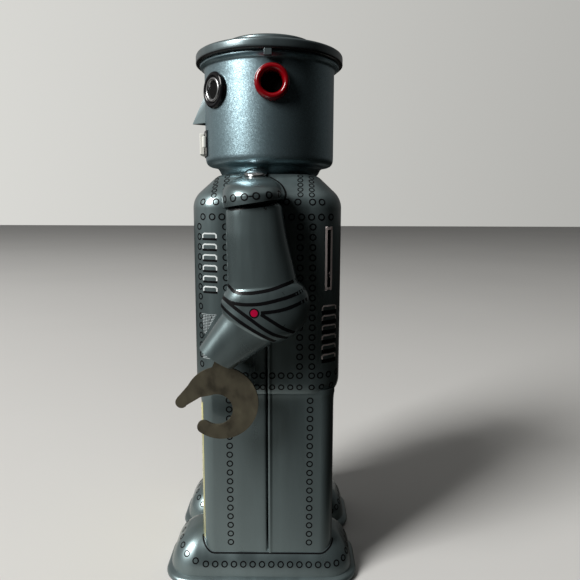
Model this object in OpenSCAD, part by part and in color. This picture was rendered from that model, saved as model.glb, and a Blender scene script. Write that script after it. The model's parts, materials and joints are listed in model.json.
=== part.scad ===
// Clockwork tin robot: a bucket head on a drawn two-half body, hooked claws and
// a spring motor that works a walking bar in each leg.
// Millimetres. +Z is up, the robot faces -Y and its left hand is on +X.
// The origin is on the ground, midway between the feet, under the body's centre.

/* [Body] */
// Height of the flat deck that carries the head
deck_z = 139.8; // [139:0.1:141]
// Half width of the torso, across the robot
torso_hx = 29.5; // [29:0.1:30]
// Half depth of the torso, front to back
torso_hy = 24.4; // [24:0.1:25]
// Corner radius of the torso seen from above
torso_r = 10; // [8:0.5:11]
// Height of the torso's floor between the legs
torso_z = 67; // [66.5:0.1:67.5]
// Half width of one leg
leg_hx = 11.3; // [11:0.1:11.5]
// Half depth of one leg
leg_hy = 22.5; // [22:0.1:22.8]
// Distance of a leg's middle from the centre plane
leg_x = 16.7; // [16.6:0.1:17]
// Thickness of the tinplate
tin = 0.5; // [0.4:0.1:0.6]

/* [Head] */
// Outside radius of the head drum
head_r = 22.8; // [22:0.1:23.5]
// Height of the joint between the drum and its lid
lid_z = 177.6; // [177:0.1:178]
// Total height of the robot
total_h = 185; // [184:0.5:186]
// Radius of the lid's rolled brim
brim_r = 25.7; // [25:0.1:26]
// Height of the eyes
eye_z = 167.2; // [167:0.1:168.5]
// Turn of each eye from straight ahead
eye_turn = 40; // [38:1:42]
// Height of the ears
ear_z = 168.2; // [167.5:0.1:168.5]
// Turn of each ear from straight ahead
ear_turn = 94; // [90:1:95]

/* [Arms] */
// Height of the shoulder pivots
arm_z = 129.8; // [129.6:0.1:130]
// Place of the shoulder pivots, front to back
arm_y = -3.6; // [-3.8:0.1:-3.4]
// Distance of an arm's split plane from the centre plane
arm_x = 37.4; // [37.3:0.1:37.8]
// Radius of the shoulder pivot
pivot_r = 1.6; // [1.5:0.05:1.8]
// Thickness of the claw plates
claw_t = 0.9; // [0.8:0.1:1.2]

/* [Feet] */
// Half width of a foot over its rolled edge
foot_hx = 15.5; // [15.3:0.1:15.8]
// Half length of a foot over its rolled edge
foot_hy = 33.75; // [33:0.25:34]
// Place of a foot's middle, front to back
foot_y = -2.35; // [-2.6:0.05:-2.2]
// Height at which the foot's dome starts
dome_z = 3; // [2.9:0.1:3.2]
// Rise of the foot's dome
dome_h = 13.3; // [13:0.1:13.6]

/* [Clockwork] */
// Height of the winding arbor
wind_z = 84.2; // [84:0.1:84.4]
// Place of the winding arbor, front to back
wind_y = 7; // [6.8:0.1:7.2]
// Radius of the winding arbor
wind_r = 2; // [1.9:0.05:2.05]
// Throw of the cranks that work the walking bars
throw = 2.4; // [2:0.1:2.5]
// Radial running clearance of every arbor and pin
run = 0.05; // [0.03:0.01:0.08]
// Height of the walking bars' shoes over the ground at mid stroke
lift = 0.5; // [0.4:0.1:0.8]

/* [Hidden] */
$fn = 64;

tin_grey = [0.42, 0.48, 0.49];
head_blue = [0.45, 0.53, 0.55];
dark_red = [0.45, 0.02, 0.05];
soot = [0.03, 0.03, 0.035];
olive = [0.25, 0.22, 0.17];
steel = [0.62, 0.63, 0.65];
brass = [0.78, 0.62, 0.30];
snug = 0.02;                        // clearance of a fixed fit

// Shoulder: an arc, a 45 degree flat and a smaller arc up to the deck
low_arc = 7.5;
flat_run = 6.2;
top_arc = 5;
shoulder_z = deck_z - low_arc * sin(45) - flat_run * sin(45) - top_arc * (1 - sin(45));

// Gears: tooth numbers, modules and centres, as [front to back, height]
great_n = 40;
second_pin_n = 10;
great_m = 0.75;
second_n = 36;
crank_pin_n = 12;
fly_pin_n = 8;
second_m = 0.65;
ratchet_n = 12;
great_c = [wind_y, wind_z];
crank_c = [-9.5, wind_z + 6];
reach_second = great_m * (great_n + second_pin_n) / 2;
reach_crank = second_m * (second_n + crank_pin_n) / 2;
reach_fly = second_m * (second_n + fly_pin_n) / 2;
second_c = circles_meet(great_c, reach_second, crank_c, reach_crank);
fly_dir = 110;
fly_c = second_c + reach_fly * [cos(fly_dir), sin(fly_dir)];
great_dir = direction(great_c, second_c);
crank_dir = direction(second_c, crank_c);
great_phase = great_dir;
second_pin_phase = mesh_phase(great_dir, great_phase, great_n, second_pin_n);
second_phase = crank_dir;
crank_pin_phase = mesh_phase(crank_dir, second_phase, second_n, crank_pin_n);
fly_pin_phase = mesh_phase(fly_dir, second_phase, second_n, fly_pin_n);

great_x = -6.4;                     // outer face of the great wheel
great_t = 1.2;
ratchet_x = -4.9;
ratchet_r = 6;
click_at = [0.96, 9.15];            // the click's stud, from the great wheel's centre
plate_x = 9;                        // inner face of each motor plate
plate_t = 0.8;
arbor_r = 1.2;
tip_r = 0.9;                        // radius of the thin arbor ends
bar_x = leg_x;

// ---- Geometry helpers ---------------------------------------------------------

function direction(a, b) = atan2(b[1] - a[1], b[0] - a[0]);

// The upper of the two points at distance ra from a and rb from b
function circles_meet(a, ra, b, rb) =
    let (d = norm(b - a), u = (b - a) / d, s = (ra * ra - rb * rb + d * d) / (2 * d),
         h = sqrt(ra * ra - s * s), n = [u[1], -u[0]])
    a + s * u + h * n;

// Angle of a tooth on the driven gear so that it meshes with the driver
function mesh_phase(dir, phase, n_driver, n_driven) =
    dir + 180 - (phase - dir) * n_driver / n_driven - 180 / n_driven;

// Corner points of a rounded rectangle, anticlockwise, steps points to a corner
function round_rect(hx, hy, r, steps = 6) =
    [for (q = [0:3]) for (k = [0:steps])
        let (a = 90 * q + 90 * k / steps, sx = (q == 0 || q == 3) ? 1 : -1,
             sy = q < 2 ? 1 : -1)
        [sx * (hx - r) + r * cos(a), sy * (hy - r) + r * sin(a)]];

function raise(points, z) = [for (p = points) [p[0], p[1], z]];

// A closed solid through rings of equal length, listed from the bottom up and
// anticlockwise as seen from above
module loft(rings) {
    n = len(rings[0]);
    m = len(rings);
    points = [for (ring = rings) for (p = ring) p];
    sides = [for (k = [0:m - 2]) for (i = [0:n - 1]) let (j = (i + 1) % n)
        each [[k * n + i, (k + 1) * n + i, (k + 1) * n + j],
              [k * n + i, (k + 1) * n + j, k * n + j]]];
    bottom = [for (i = [0:n - 1]) i];
    top = [for (i = [n - 1:-1:0]) (m - 1) * n + i];
    polyhedron(points, concat([bottom], sides, [top]), convexity = 6);
}

// Puts a flat outline drawn in (front to back, height) into the robot at x
module side_plate(x, width) translate([x, 0, 0]) rotate([90, 0, 90])
    linear_extrude(width, convexity = 6) children();

// A rod along X
module x_rod(x0, x1, r, c = [0, 0]) translate([x0, c[0], c[1]]) rotate([0, 90, 0])
    cylinder(r = r, h = x1 - x0);

module mirrored(side) if (side > 0) children(); else mirror([1, 0, 0]) children();

// ---- Gears ---------------------------------------------------------------------

function inv(a) = tan(a) * 180 / PI - a;

// Half angle of a 20 degree involute tooth at radius r, thinned for backlash
function half_tooth(n, m, r) =
    let (rb = n * m / 2 * cos(20)) 0.76 * 90 / n + inv(20) - (r > rb ? inv(acos(rb / r)) : 0);

module gear_outline(n, m, phase) {
    pitch_r = n * m / 2;
    tip = pitch_r + 0.8 * m;
    root = pitch_r - 1.15 * m;
    low = max(root + 0.05, pitch_r * cos(20));
    radii = [root, low, pitch_r, tip];
    polygon([for (k = [0:n - 1]) each concat(
        [for (r = radii) let (a = phase + 360 * k / n - half_tooth(n, m, r))
            [r * cos(a), r * sin(a)]],
        [for (i = [3:-1:0]) let (r = radii[i], a = phase + 360 * k / n + half_tooth(n, m, r))
            [r * cos(a), r * sin(a)]])]);
}

// A spur gear in the plane x with a bore, and round windows if it has a count of them
module spur(x, width, c, n, m, phase, bore, windows = 0) side_plate(x, width)
    translate(c) difference() {
        gear_outline(n, m, phase);
        circle(r = bore);
        if (windows > 0) for (k = [0:windows - 1]) rotate(360 * (k + 0.5) / windows)
            translate([n * m * 0.29, 0]) circle(r = n * m * 0.12);
    }

// ---- Torso and legs ------------------------------------------------------------

// Steps of inset and height from the torso's floor up to its deck
function torso_profile() = concat(
    [for (a = [0:30:90]) [2.2 * (1 - sin(a)), torso_z + 5 * (1 - cos(a))]],
    [for (a = [0:15:45]) [low_arc * (1 - cos(a)), shoulder_z + low_arc * sin(a)]],
    [for (a = [45:15:90])
        [low_arc * (1 - cos(45)) + flat_run * sin(45) + top_arc * (cos(45) - cos(a)),
         deck_z - top_arc * (1 - sin(a))]]);

module torso_solid(gap = 0) loft([for (p = torso_profile())
    let (z = p[1] < 90 ? p[1] + gap : p[1] - (p[1] > 132 ? gap * 0.8 : 0))
    raise(round_rect(torso_hx - p[0] - gap, torso_hy - p[0] - gap,
        max(torso_r - 0.35 * p[0] - gap, 1)), p[1] > deck_z - 0.01 ? deck_z - gap : z)]);

module leg_solid(side, gap, z0, z1) translate([side * leg_x, 0, 0])
    loft([for (z = [z0, z1]) raise(round_rect(leg_hx - gap, leg_hy - gap, 4.5 - gap), z)]);

module body_skin() difference() {
    union() {
        torso_solid();
        for (s = [-1, 1]) leg_solid(s, 0, 6, torso_z + 1);
    }
    torso_solid(tin);
    for (s = [-1, 1]) {
        leg_solid(s, tin, 5, torso_z + 2);
        foot_solid(s, -snug);
    }
}

module half_space(front) translate([-50, front ? -100 : 0, 0]) cube([100, 100, 160]);

module front_shell() color(tin_grey) difference() {
    intersection() {
        body_skin();
        half_space(true);
    }
    neck_hole();
    for (s = [-1, 1]) {
        pivot_hole(s);
        mirrored(s) cap_rivet_axis() cylinder(r = rivet_r + snug, h = 6, center = true);
    }
}

module back_shell() color(tin_grey) difference() {
    intersection() {
        body_skin();
        half_space(false);
    }
    neck_hole();
    x_rod(-torso_hx - 1, -torso_hx + 2, 2.7, great_c);
}

module neck_hole() translate([0, 0, deck_z - 3]) cylinder(r = 4 + snug, h = 6);

module pivot_hole(side) mirrored(side)
    x_rod(torso_hx - 4, torso_hx + 1, pivot_r + snug, [arm_y, arm_z]);

// ---- Feet ----------------------------------------------------------------------

// Steps of inset and height of a foot, from the rolled edge up over the dome
function foot_profile() = concat(
    [[0.5, 0], [0, 0.5], [0, 2.1], [0.5, 2.7], [1.7, dome_z]],
    [for (a = [10:10:90]) [1.7 + 13 * (1 - cos(a)), dome_z + dome_h * sin(a)]]);

module foot_solid(side, gap) translate([side * leg_x, foot_y, 0])
    loft([for (p = foot_profile()) let (e = p[0] + gap)
        raise(round_rect(foot_hx - e, foot_hy - e,
            min(10 - 0.62 * p[0] - gap, foot_hx - e - 0.2), 5),
            p[1] > 2.5 ? p[1] - gap : p[1])]);

// Hollow under the foot: straight inside the rolled edge, then inside the dome
module foot_hollow(side) translate([side * leg_x, foot_y, 0])
    loft(concat([raise(round_rect(foot_hx - 0.6, foot_hy - 0.6, 9.4, 5), -1),
                 raise(round_rect(foot_hx - 0.6, foot_hy - 0.6, 9.4, 5), 2)],
        [for (a = [0:10:80]) let (e = 2.2 + 12.4 * (1 - cos(a)))
            raise(round_rect(foot_hx - e, foot_hy - e, max(9 - 0.62 * e, 0.5), 5),
                dome_z - 0.6 + (dome_h + 0.05) * sin(a))]));

module foot_shell(side) color(tin_grey) difference() {
    foot_solid(side, 0);
    foot_hollow(side);
    translate([side * leg_x, crank_c[0], 14]) cube([5, 15, 12], center = true);
}

module left_foot_shell() foot_shell(1);
module right_foot_shell() foot_shell(-1);

shoe_len = 26;
shoe_w = 2.2;
slot_w = 3.4;
slot_len = shoe_len + 2 * throw + 1.6;

// The sole plate is a rounded rectangle with the slot of the walking bar
module sole_plate(side) color(steel) translate([side * leg_x, foot_y, 0]) difference() {
    linear_extrude(0.8) difference() {
        polygon(round_rect(foot_hx - 0.62, foot_hy - 0.62, 9.38, 5));
        square([slot_w, slot_len], center = true);
    }
}

module left_sole_plate() sole_plate(1);
module right_sole_plate() sole_plate(-1);

// ---- Head ----------------------------------------------------------------------

module head_drum() color(head_blue) difference() {
    rotate_extrude() polygon([[4 + snug, deck_z], [15.4, deck_z], [16.8, 140.1], [17.6, 140.8],
        [18.2, 142.1], [19, 142.8], [21, 143.1], [22.1, 143.7], [22.7, 144.6],
        [head_r, 145.8], [head_r, 175.8], [23.3, 176.3], [24.4, 176.7], [24.4, lid_z],
        [23.6, lid_z], [head_r - tin, 176.9], [head_r - tin, 146], [21.9, 144.6],
        [20.9, 143.7], [18.8, 143.4], [17.7, 142.3], [17.1, 141.2], [16.4, 140.6],
        [15.2, deck_z + tin], [4 + snug, deck_z + tin]]);
    for (s = [-1, 1]) {
        eye_axis(s) translate([0, 0, -4]) cylinder(r = 3.1 + snug, h = 8);
        ear_axis(s) translate([0, 0, -4]) cylinder(r = 4.2 + snug, h = 8);
    }
}

module head_lid() color(tin_grey) rotate_extrude() polygon([[0, total_h], [14.9, total_h],
    [15.5, total_h - 0.5], [15.9, 183.6], [16.5, 183.1], [17.6, 182.75], [22.5, 181.75],
    [24.8, 181.2], [brim_r - 0.2, 180.6], [brim_r, 180], [brim_r, 178.3],
    [brim_r - 0.4, lid_z], [23.7, lid_z], [23.7, 178.2], [24.6, 178.4], [24.9, 179],
    [24.9, 180], [24.4, 180.5], [22.3, 181.1], [17.5, 182.2], [16, 182.6], [15.4, 183.2],
    [15, 184.1], [14.6, 184.5], [0, 184.5]]);

// Bent clips that hold the lid's brim down on the drum's flange
module lid_clips() color(steel) for (s = [-1, 1]) mirrored(s) {
    translate([23.4, -0.7, 175.7]) cube([2.2, 2.4, 0.4]);
    translate([25.2, -0.7, 175.7]) cube([0.4, 2.4, lid_z - 175.7]);
}

module eye_axis(side) rotate([0, 0, -90 + side * eye_turn]) translate([head_r, 0, eye_z])
    rotate([0, 90, 0]) children();
module ear_axis(side) rotate([0, 0, -90 + side * ear_turn]) translate([head_r, 0, ear_z])
    rotate([0, 90, 0]) children();

// Rubber grommet: a thick ring whose back is cut to the drum's curve
module eye_grommet(side) color(soot) difference() {
    eye_axis(side) rotate_extrude() polygon([[3.1 + snug, -1.1], [5.9, -1.1], [5.9, 0.4],
        [5.6, 1], [4.9, 1.3], [4.4, 1.15], [4, 0.7], [3.6, 0.35], [3.1 + snug, 0.1]]);
    translate([0, 0, eye_z - 8]) cylinder(r = head_r + snug, h = 16, $fn = 96);
}
module left_eye_grommet() eye_grommet(1);
module right_eye_grommet() eye_grommet(-1);

// Metal eyelet through the grommet and the drum, its rim rolled into a bead
module eye_eyelet(side) color(steel) eye_axis(side) rotate_extrude() polygon([[2.6, -2.2],
    [3.1, -2.2], [3.1, 0.12], [3.6, 0.4], [3.9, 0.68], [3.96, 1], [3.7, 1.3], [3.3, 1.3],
    [3, 1.05], [2.8, 0.5], [2.6, 0]]);
module left_eye_eyelet() eye_eyelet(1);
module right_eye_eyelet() eye_eyelet(-1);

// Turned ear ring with a dark bore, seated on the drum's curve
module ear_ring(side) color(dark_red) difference() {
    ear_axis(side) rotate_extrude() polygon([[3.4, -2.5], [4.2, -2.5], [4.2, -0.9],
        [5.6, -0.9], [5.7, 0.8], [5.5, 1.6], [4.9, 2.1], [4.3, 2.1], [3.7, 1.7], [3.4, 1]]);
    difference() {
        translate([0, 0, ear_z - 8]) cylinder(r = head_r + snug, h = 16, $fn = 96);
        ear_axis(side) translate([0, 0, -5]) cylinder(r = 4.2, h = 12);
    }
}
module left_ear_ring() ear_ring(1);
module right_ear_ring() ear_ring(-1);

// Folded tin nose: two sloping cheeks that meet in a ridge, open underneath
module nose() color(head_blue) difference() {
    nose_wedge(0);
    nose_wedge(tin);
    translate([0, 0, 150]) cylinder(r = head_r + snug, h = 25, $fn = 96);
}
module nose_wedge(gap) {
    base = 158.3 - 4 * gap;
    top = 167.9 - 2.5 * gap;
    loft([[[-5 + gap, -21, base], [0, -27.7 + 1.6 * gap, base], [5 - gap, -21, base]],
        [[-0.9, -21, top], [0, -23.3 + 1.4 * gap, top], [0.9, -21, top]]]);
}

// A curved slab of the drum's wall, from one turn angle to the other
module face_slab(r0, r1, z0, z1, half_angle) translate([0, 0, z0]) intersection() {
    difference() {
        cylinder(r = r1, h = z1 - z0, $fn = 96);
        translate([0, 0, -1]) cylinder(r = r0, h = z1 - z0 + 2, $fn = 96);
    }
    translate([0, 0, -1]) linear_extrude(z1 - z0 + 2)
        polygon([[0, 0], [40 * sin(-half_angle), -40 * cos(half_angle)],
            [40 * sin(half_angle), -40 * cos(half_angle)]]);
}

module mouth_plate() color(soot) face_slab(head_r + snug, head_r + 0.45, 146.4, 155.2, 23);

module teeth() color("white") {
    for (k = [-1:1]) rotate([0, 0, 8.6 * k]) translate([-1.55, -24.85, 147.3])
        cube([3.1, 24.85 - head_r - 0.48, 7.2]);
    for (s = [-1, 1]) rotate([0, 0, 18.6 * s]) translate([-1.3, -24.3, 149.4])
        cube([2.6, 24.3 - head_r - 0.48, 3.8]);
}

// Hollow rivet that clamps the head's foot on the deck
module neck_rivet() color(steel) rotate_extrude() polygon([[3.2, deck_z - 1.2],
    [6, deck_z - 1.2], [6, deck_z - tin], [4, deck_z - tin], [4, deck_z + tin],
    [6, deck_z + tin], [6, deck_z + 1.2], [3.2, deck_z + 1.2]]);

// ---- Shoulders and arms --------------------------------------------------------

// Height, outermost X and half width of the cap's rings
cap_rings = [[128.6, 45, 9.1], [131, 45.1, 9.5], [132.8, 44.8, 9.7], [134.4, 43.5, 9.3],
    [135.8, 41, 8.4], [136.9, 37, 7.2], [137.7, 32, 5.9], [138.3, 27.2, 4.9], [138.6, 24.2, 4.4]];
cap_y = arm_y - 0.1;
cap_x = 20;
cap_lip_z = 130;

module cap_solid(gap) loft([for (c = cap_rings) let (z = c[0] - (c[0] < 130 ? 1 : gap))
    raise([for (k = [0:16]) let (a = -90 + 180 * k / 16)
        [cap_x + (c[1] - gap - cap_x) * pow(max(cos(a), 0), 0.34),
         cap_y + (c[2] - gap) * sin(a)]], z)]);

// A hollow hood, its lip tilted, with a tab that lies on the shoulder under the rivet
module shoulder_cap(side) color(tin_grey) mirrored(side) difference() {
    union() {
        difference() {
            cap_solid(0);
            cap_solid(tin);
            translate([15, cap_y, cap_lip_z]) rotate([8.5, 0, 0])
                translate([0, -20, -10]) cube([40, 40, 10]);
        }
        intersection() {
            torso_solid(-tin);
            cap_rivet_axis() cylinder(r = 5, h = 6, center = true);
        }
    }
    torso_solid(-snug);
    cap_rivet_axis() cylinder(r = rivet_r + snug, h = 6, center = true);
    cap_rivet_axis() translate([0, 0, rivet_seat - snug]) cylinder(r = rivet_head_r + snug, h = 4);
}
module left_shoulder_cap() shoulder_cap(1);
module right_shoulder_cap() shoulder_cap(-1);

// Axis of the domed rivet, leaning outwards with the shoulder's upper slope
rivet_r = 1.4;
rivet_head_r = 3.7;
rivet_seat = 0.55;                  // underside of the rivet's head over the shoulder
module cap_rivet_axis() translate([21.9, cap_y, 139.15]) rotate([0, 22, 0]) children();

module cap_rivet(side) color(steel) mirrored(side) cap_rivet_axis() rotate_extrude()
    polygon([[0, -2.2], [2.4, -2.2], [2.4, -1.5], [rivet_r, -1.5], [rivet_r, rivet_seat],
        [rivet_head_r, rivet_seat], [3.6, 0.95], [3, 1.5], [1.9, 1.95], [0, 2.15]]);
module left_cap_rivet() cap_rivet(1);
module right_cap_rivet() cap_rivet(-1);

// Front point, back point and half thickness of the arm's sections, wrist first
arm_cuts = [[[-19.3, 85], [-10.6, 79.5], 3.6], [[-20.3, 86], [-9.9, 79.4], 5],
    [[-16.65, 91.4], [-3.65, 83.4], 6], [[-13, 96.8], [2.7, 87.6], 6.7],
    [[-13.3, 97.6], [4.7, 87.9], 7.1], [[-13.5, 98.5], [8.6, 89.6], 7.25],
    [[-13.55, 99.2], [12.2, 93.5], 7.3], [[-13.5, 100], [13.8, 98.4], 7.3],
    [[-13.1, 101.3], [13.2, 102.9], 7.2], [[-12.4, 102.8], [11.9, 105.1], 7],
    [[-11.5, 104.4], [10.1, 106.6], 6.6], [[-11.45, 108], [9.3, 108.4], 6.55],
    [[-11.7, 119.8], [6.8, 119.8], 6.45], [[-11.6, 127.6], [5.1, 129], 6],
    [[-10.1, 129.6], [3.3, 130.8], 5.4], [[-8.2, 132.4], [1.3, 133], 4.9],
    [[-6.2, 134.8], [-0.8, 134.8], 3.2]];

// One section of the arm: a soft-cornered oval between its front and back points
function arm_ring(cut, gap) =
    let (mid = (cut[0] + cut[1]) / 2, half = (cut[1] - cut[0]) / 2,
         span = norm(half), unit = half / span)
    [for (k = [0:23]) let (a = 15 * k, c = cos(a), s = sin(a),
        u = sign(c) * pow(abs(c), 0.86) * (span - gap), v = sign(s) * pow(abs(s), 0.86))
        [arm_x - v * (cut[2] - gap), mid[0] + unit[0] * u, mid[1] + unit[1] * u]];

// The hollow (gap > 0) stops short of the wrist and of the top
module arm_solid(gap) loft([for (k = [0:len(arm_cuts) - 1])
    let (shift = k == 0 ? [0, 0.6, 0.8] : k == len(arm_cuts) - 1 ? [0, 0, -1] : [0, 0, 0])
    [for (p = arm_ring(arm_cuts[k], gap)) p + gap * shift]]);

module arm_skin() difference() {
    arm_solid(0);
    arm_solid(tin);
    side_plate(arm_x - claw_t / 2 - snug, claw_t + 2 * snug) claw_neck();
}

module arm_outer(side) color(tin_grey) mirrored(side) intersection() {
    arm_skin();
    translate([arm_x, -40, 60]) cube([20, 80, 90]);
}

// The inner half carries the pivot's boss
module arm_inner(side) color(tin_grey) mirrored(side) difference() {
    union() {
        intersection() {
            arm_skin();
            translate([arm_x - 20, -40, 60]) cube([20, 80, 90]);
        }
        x_rod(arm_x - 6.4, arm_x - 4.2, 4, [arm_y, arm_z]);
    }
    x_rod(arm_x - 10, arm_x - 4, pivot_r + run, [arm_y, arm_z]);
}
module left_arm_outer() arm_outer(1);
module right_arm_outer() arm_outer(-1);
module left_arm_inner() arm_inner(1);
module right_arm_inner() arm_inner(-1);

// Shouldered rivet on which the arm swings
module arm_pivot(side) color(steel) mirrored(side) translate([0, arm_y, arm_z])
    rotate([0, 90, 0]) rotate_extrude() polygon([[0, 26.2], [2.4, 26.2], [2.4, 27.2],
        [pivot_r, 27.2], [pivot_r, torso_hx + 0.05], [2.8, torso_hx + 0.05],
        [2.8, arm_x - 6.5], [pivot_r, arm_x - 6.5], [pivot_r, arm_x - 4.1],
        [2.4, arm_x - 4.1], [2.4, arm_x - 3.4], [0, arm_x - 3.4]]);
module left_arm_pivot() arm_pivot(1);
module right_arm_pivot() arm_pivot(-1);

claw_c = [-14, 67.8];
claw_r = 11.8;
bite_c = [-15.3, 65.7];
bite_r = 5;
low_tip = [-19.55, 59.9];
high_tip = [-26.5, 68];

module claw_neck() polygon([[-18, 76], [-14.8, 84], [-11.9, 82.2], [-8.8, 77]]);

module claw_plate() side_plate(arm_x - claw_t / 2, claw_t) children();

// Hooked claw cut from flat plate: a round body, a straight upper jaw and a
// curled lower jaw, open towards the front
module claw(side) color(olive) mirrored(side) {
    difference() {
        union() {
            claw_plate() translate(claw_c) circle(r = claw_r);
            claw_plate() polygon([[-21, 77.3], [-28, 69.2], high_tip, [-25.6, 66.4], [-18, 66]]);
            claw_plate() claw_neck();
        }
        side_plate(arm_x - 2, 4) translate(bite_c) circle(r = bite_r);
        side_plate(arm_x - 2, 4) polygon([bite_c, low_tip,
            low_tip + 12 * (low_tip - bite_c) / norm(low_tip - bite_c), [-40, 50], [-40, 60],
            [-25.6, 66.6], [-20.5, 69.7], [-15.3, bite_c[1] + bite_r]]);
    }
    claw_plate() translate(high_tip) circle(r = 1.9);
    claw_plate() translate(low_tip) circle(r = 2.15);
}
module left_claw() claw(1);
module right_claw() claw(-1);

// ---- Spring motor --------------------------------------------------------------

pillar_at = [for (p = [[-14, -6.5], [20.3, 18], [11, 34.5], [-14, 29]]) [p[0], wind_z + p[1]]];
spring_post = great_c + 13.6 * [cos(20), sin(20)];

module motor_plate(side) color(steel) mirrored(side) difference() {
    side_plate(plate_x, plate_t) difference() {
        translate([0, wind_z]) polygon([[-17, -9.5], [torso_hy - tin, -9.5],
            [torso_hy - tin, -1], [22.5, 1], [22.5, 20], [14, 38], [-17, 38], [-17, 34],
            [-torso_hy + tin, 34], [-torso_hy + tin, 26], [-17, 26]]);
        translate(great_c) circle(r = (side > 0 ? arbor_r : wind_r) + run);
        for (c = [second_c, crank_c, fly_c]) translate(c) circle(r = tip_r + run);
        for (c = pillar_at) translate(c) circle(r = 1 + snug);
        if (side > 0) translate(spring_post) circle(r = 0.7 + snug);
        translate([2, wind_z + 39]) circle(r = 6);
    }
}
module left_motor_plate() motor_plate(1);
module right_motor_plate() motor_plate(-1);

// Four shouldered pillars and the post that holds the spring's outer end
module motor_pillars() color(brass) {
    for (c = pillar_at) {
        x_rod(-plate_x, plate_x, 1.5, c);
        for (s = [-1, 1]) mirrored(s) x_rod(plate_x - 0.5, plate_x + plate_t, 1, c);
    }
    x_rod(-3, plate_x, 1, spring_post);
    x_rod(plate_x - 0.5, plate_x + plate_t, 0.7, spring_post);
}

// Spiral of spring strip from near the arbor out to the post
module mainspring() {
    turns = 7;
    steps = 20 * turns;
    r_in = 2.7;
    r_out = 12.1;
    strip = 0.45;
    spiral = [for (k = [0:steps]) let (a = 20 + 360 * turns * k / steps - 360 * turns,
        r = r_in + (r_out - r_in) * k / steps) [r, a]];
    color("dimgray") side_plate(-2.8, 5.6) translate(great_c)
        polygon(concat([for (p = spiral) [p[0] * cos(p[1]), p[0] * sin(p[1])]],
            [for (k = [steps:-1:0]) let (p = spiral[k], r = p[0] + strip)
                [r * cos(p[1]), r * sin(p[1])]]));
}

module great_wheel() color(brass) {
    difference() {
        spur(great_x, great_t, great_c, great_n, great_m, great_phase, wind_r + run);
        for (a = [15, 150, 215, 280]) x_rod(great_x - 1, great_x + 3, 2.3,
            great_c + 10.2 * [cos(a), sin(a)]);
    }
    x_rod(great_x + great_t, ratchet_x + 1.3, 0.8, great_c + click_at);
}

module ratchet_wheel() color(steel) side_plate(ratchet_x, 1.1) translate(great_c)
    difference() {
        polygon([for (k = [0:ratchet_n - 1]) let (a = 360 * k / ratchet_n) each [
            [ratchet_r * cos(a), ratchet_r * sin(a)],
            [4.6 * cos(a + 3), 4.6 * sin(a + 3)]]]);
        circle(r = wind_r + snug);
    }

// The click turns on a stud in the great wheel; its nose stands behind a ratchet tooth
module click() color(steel) side_plate(ratchet_x, 1.1) translate(great_c) difference() {
    union() {
        translate(click_at) circle(r = 1.5);
        polygon([[4.2, 2.95], [4.95, 3.4], [5.2, 4.6], [4.2, 6.6], [2.3, 9.6], [0.4, 11.3],
            [-0.3, 11.1], [-0.5, 9.2], [0.6, 7.9], [3.3, 5.8], [4.2, 4.5]]);
    }
    translate(click_at) circle(r = 0.8 + run);
}

// Bowed strip on the great wheel that stands just off the click's tail
module click_spring() color("dimgray") side_plate(great_x + great_t, 1.2)
    translate(great_c + [-2.6, 9.9]) polygon(concat(
        [for (a = [40:14:166]) [2.05 * cos(a), 2.05 * sin(a)]],
        [for (a = [166:-14:40]) [1.75 * cos(a), 1.75 * sin(a)]]));

module winding_arbor() color(steel) {
    x_rod(-41, plate_x - 0.2, wind_r, great_c);
    x_rod(plate_x - 0.3, plate_x + plate_t + 0.4, arbor_r, great_c);
}

// Wing key: a hub over the arbor's end and two round, pierced wings
module winding_key() color(steel) {
    difference() {
        x_rod(-45.8, -31.2, 2.6, great_c);
        x_rod(-41.2, -31, wind_r + snug, great_c);
    }
    translate([-45.8, wind_y, wind_z]) rotate([90, 0, 0]) translate([0, 0, -0.7])
        linear_extrude(1.4) difference() {
            union() {
                translate([-1, -2.6]) square([2, 5.2]);
                for (s = [-1, 1]) translate([-5.2, s * 5]) circle(r = 5.6);
            }
            for (s = [-1, 1]) translate([-5.2, s * 5.4]) circle(r = 2.5);
        }
}

module second_arbor() color(steel) {
    x_rod(-plate_x + 0.15, plate_x - 0.15, arbor_r, second_c);
    x_rod(-plate_x - plate_t, plate_x + plate_t, tip_r, second_c);
    spur(great_x - 0.7, 2.6, second_c, second_pin_n, great_m, second_pin_phase, 0.5);
}

module second_wheel() color(brass)
    spur(5, 1.2, second_c, second_n, second_m, second_phase, arbor_r + snug, 5);

module crank_arbor() color(steel) {
    x_rod(-plate_x + 0.15, plate_x - 0.15, arbor_r, crank_c);
    x_rod(-11.8, 11.8, tip_r, crank_c);
    spur(4.4, 2.4, crank_c, crank_pin_n, second_m, crank_pin_phase, 0.5);
}

// Crank disc with its pin; the two pins stand half a turn apart
module crank(side) color(steel) {
    pin_c = crank_c - side * [throw, 0];
    mirrored(side) {
        difference() {
            x_rod(10.2, 11.8, 4, crank_c);
            x_rod(10, 12, tip_r + snug, crank_c);
        }
        x_rod(11.7, bar_x + 1.6, 0.9, pin_c);
        x_rod(bar_x + 1.1, bar_x + 1.8, 1.5, pin_c);
    }
}
module left_crank() crank(1);
module right_crank() crank(-1);

module governor_arbor() color(steel) {
    x_rod(-plate_x + 0.15, plate_x - 0.15, 0.95, fly_c);
    x_rod(-plate_x - plate_t, plate_x + plate_t, tip_r - 0.03, fly_c);
    spur(4.4, 2.4, fly_c, fly_pin_n, second_m, fly_pin_phase, 0.5);
}

// Fly that holds the speed down: a bar with a weight at each end
module governor_fly() color(brass) side_plate(-3, 2.6) translate(fly_c) difference() {
    union() {
        circle(r = 2);
        square([9, 1.6], center = true);
        for (s = [-1, 1]) translate([4.4 * s, 0]) circle(r = 1.5);
    }
    circle(r = 0.95 + snug);
}

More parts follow.
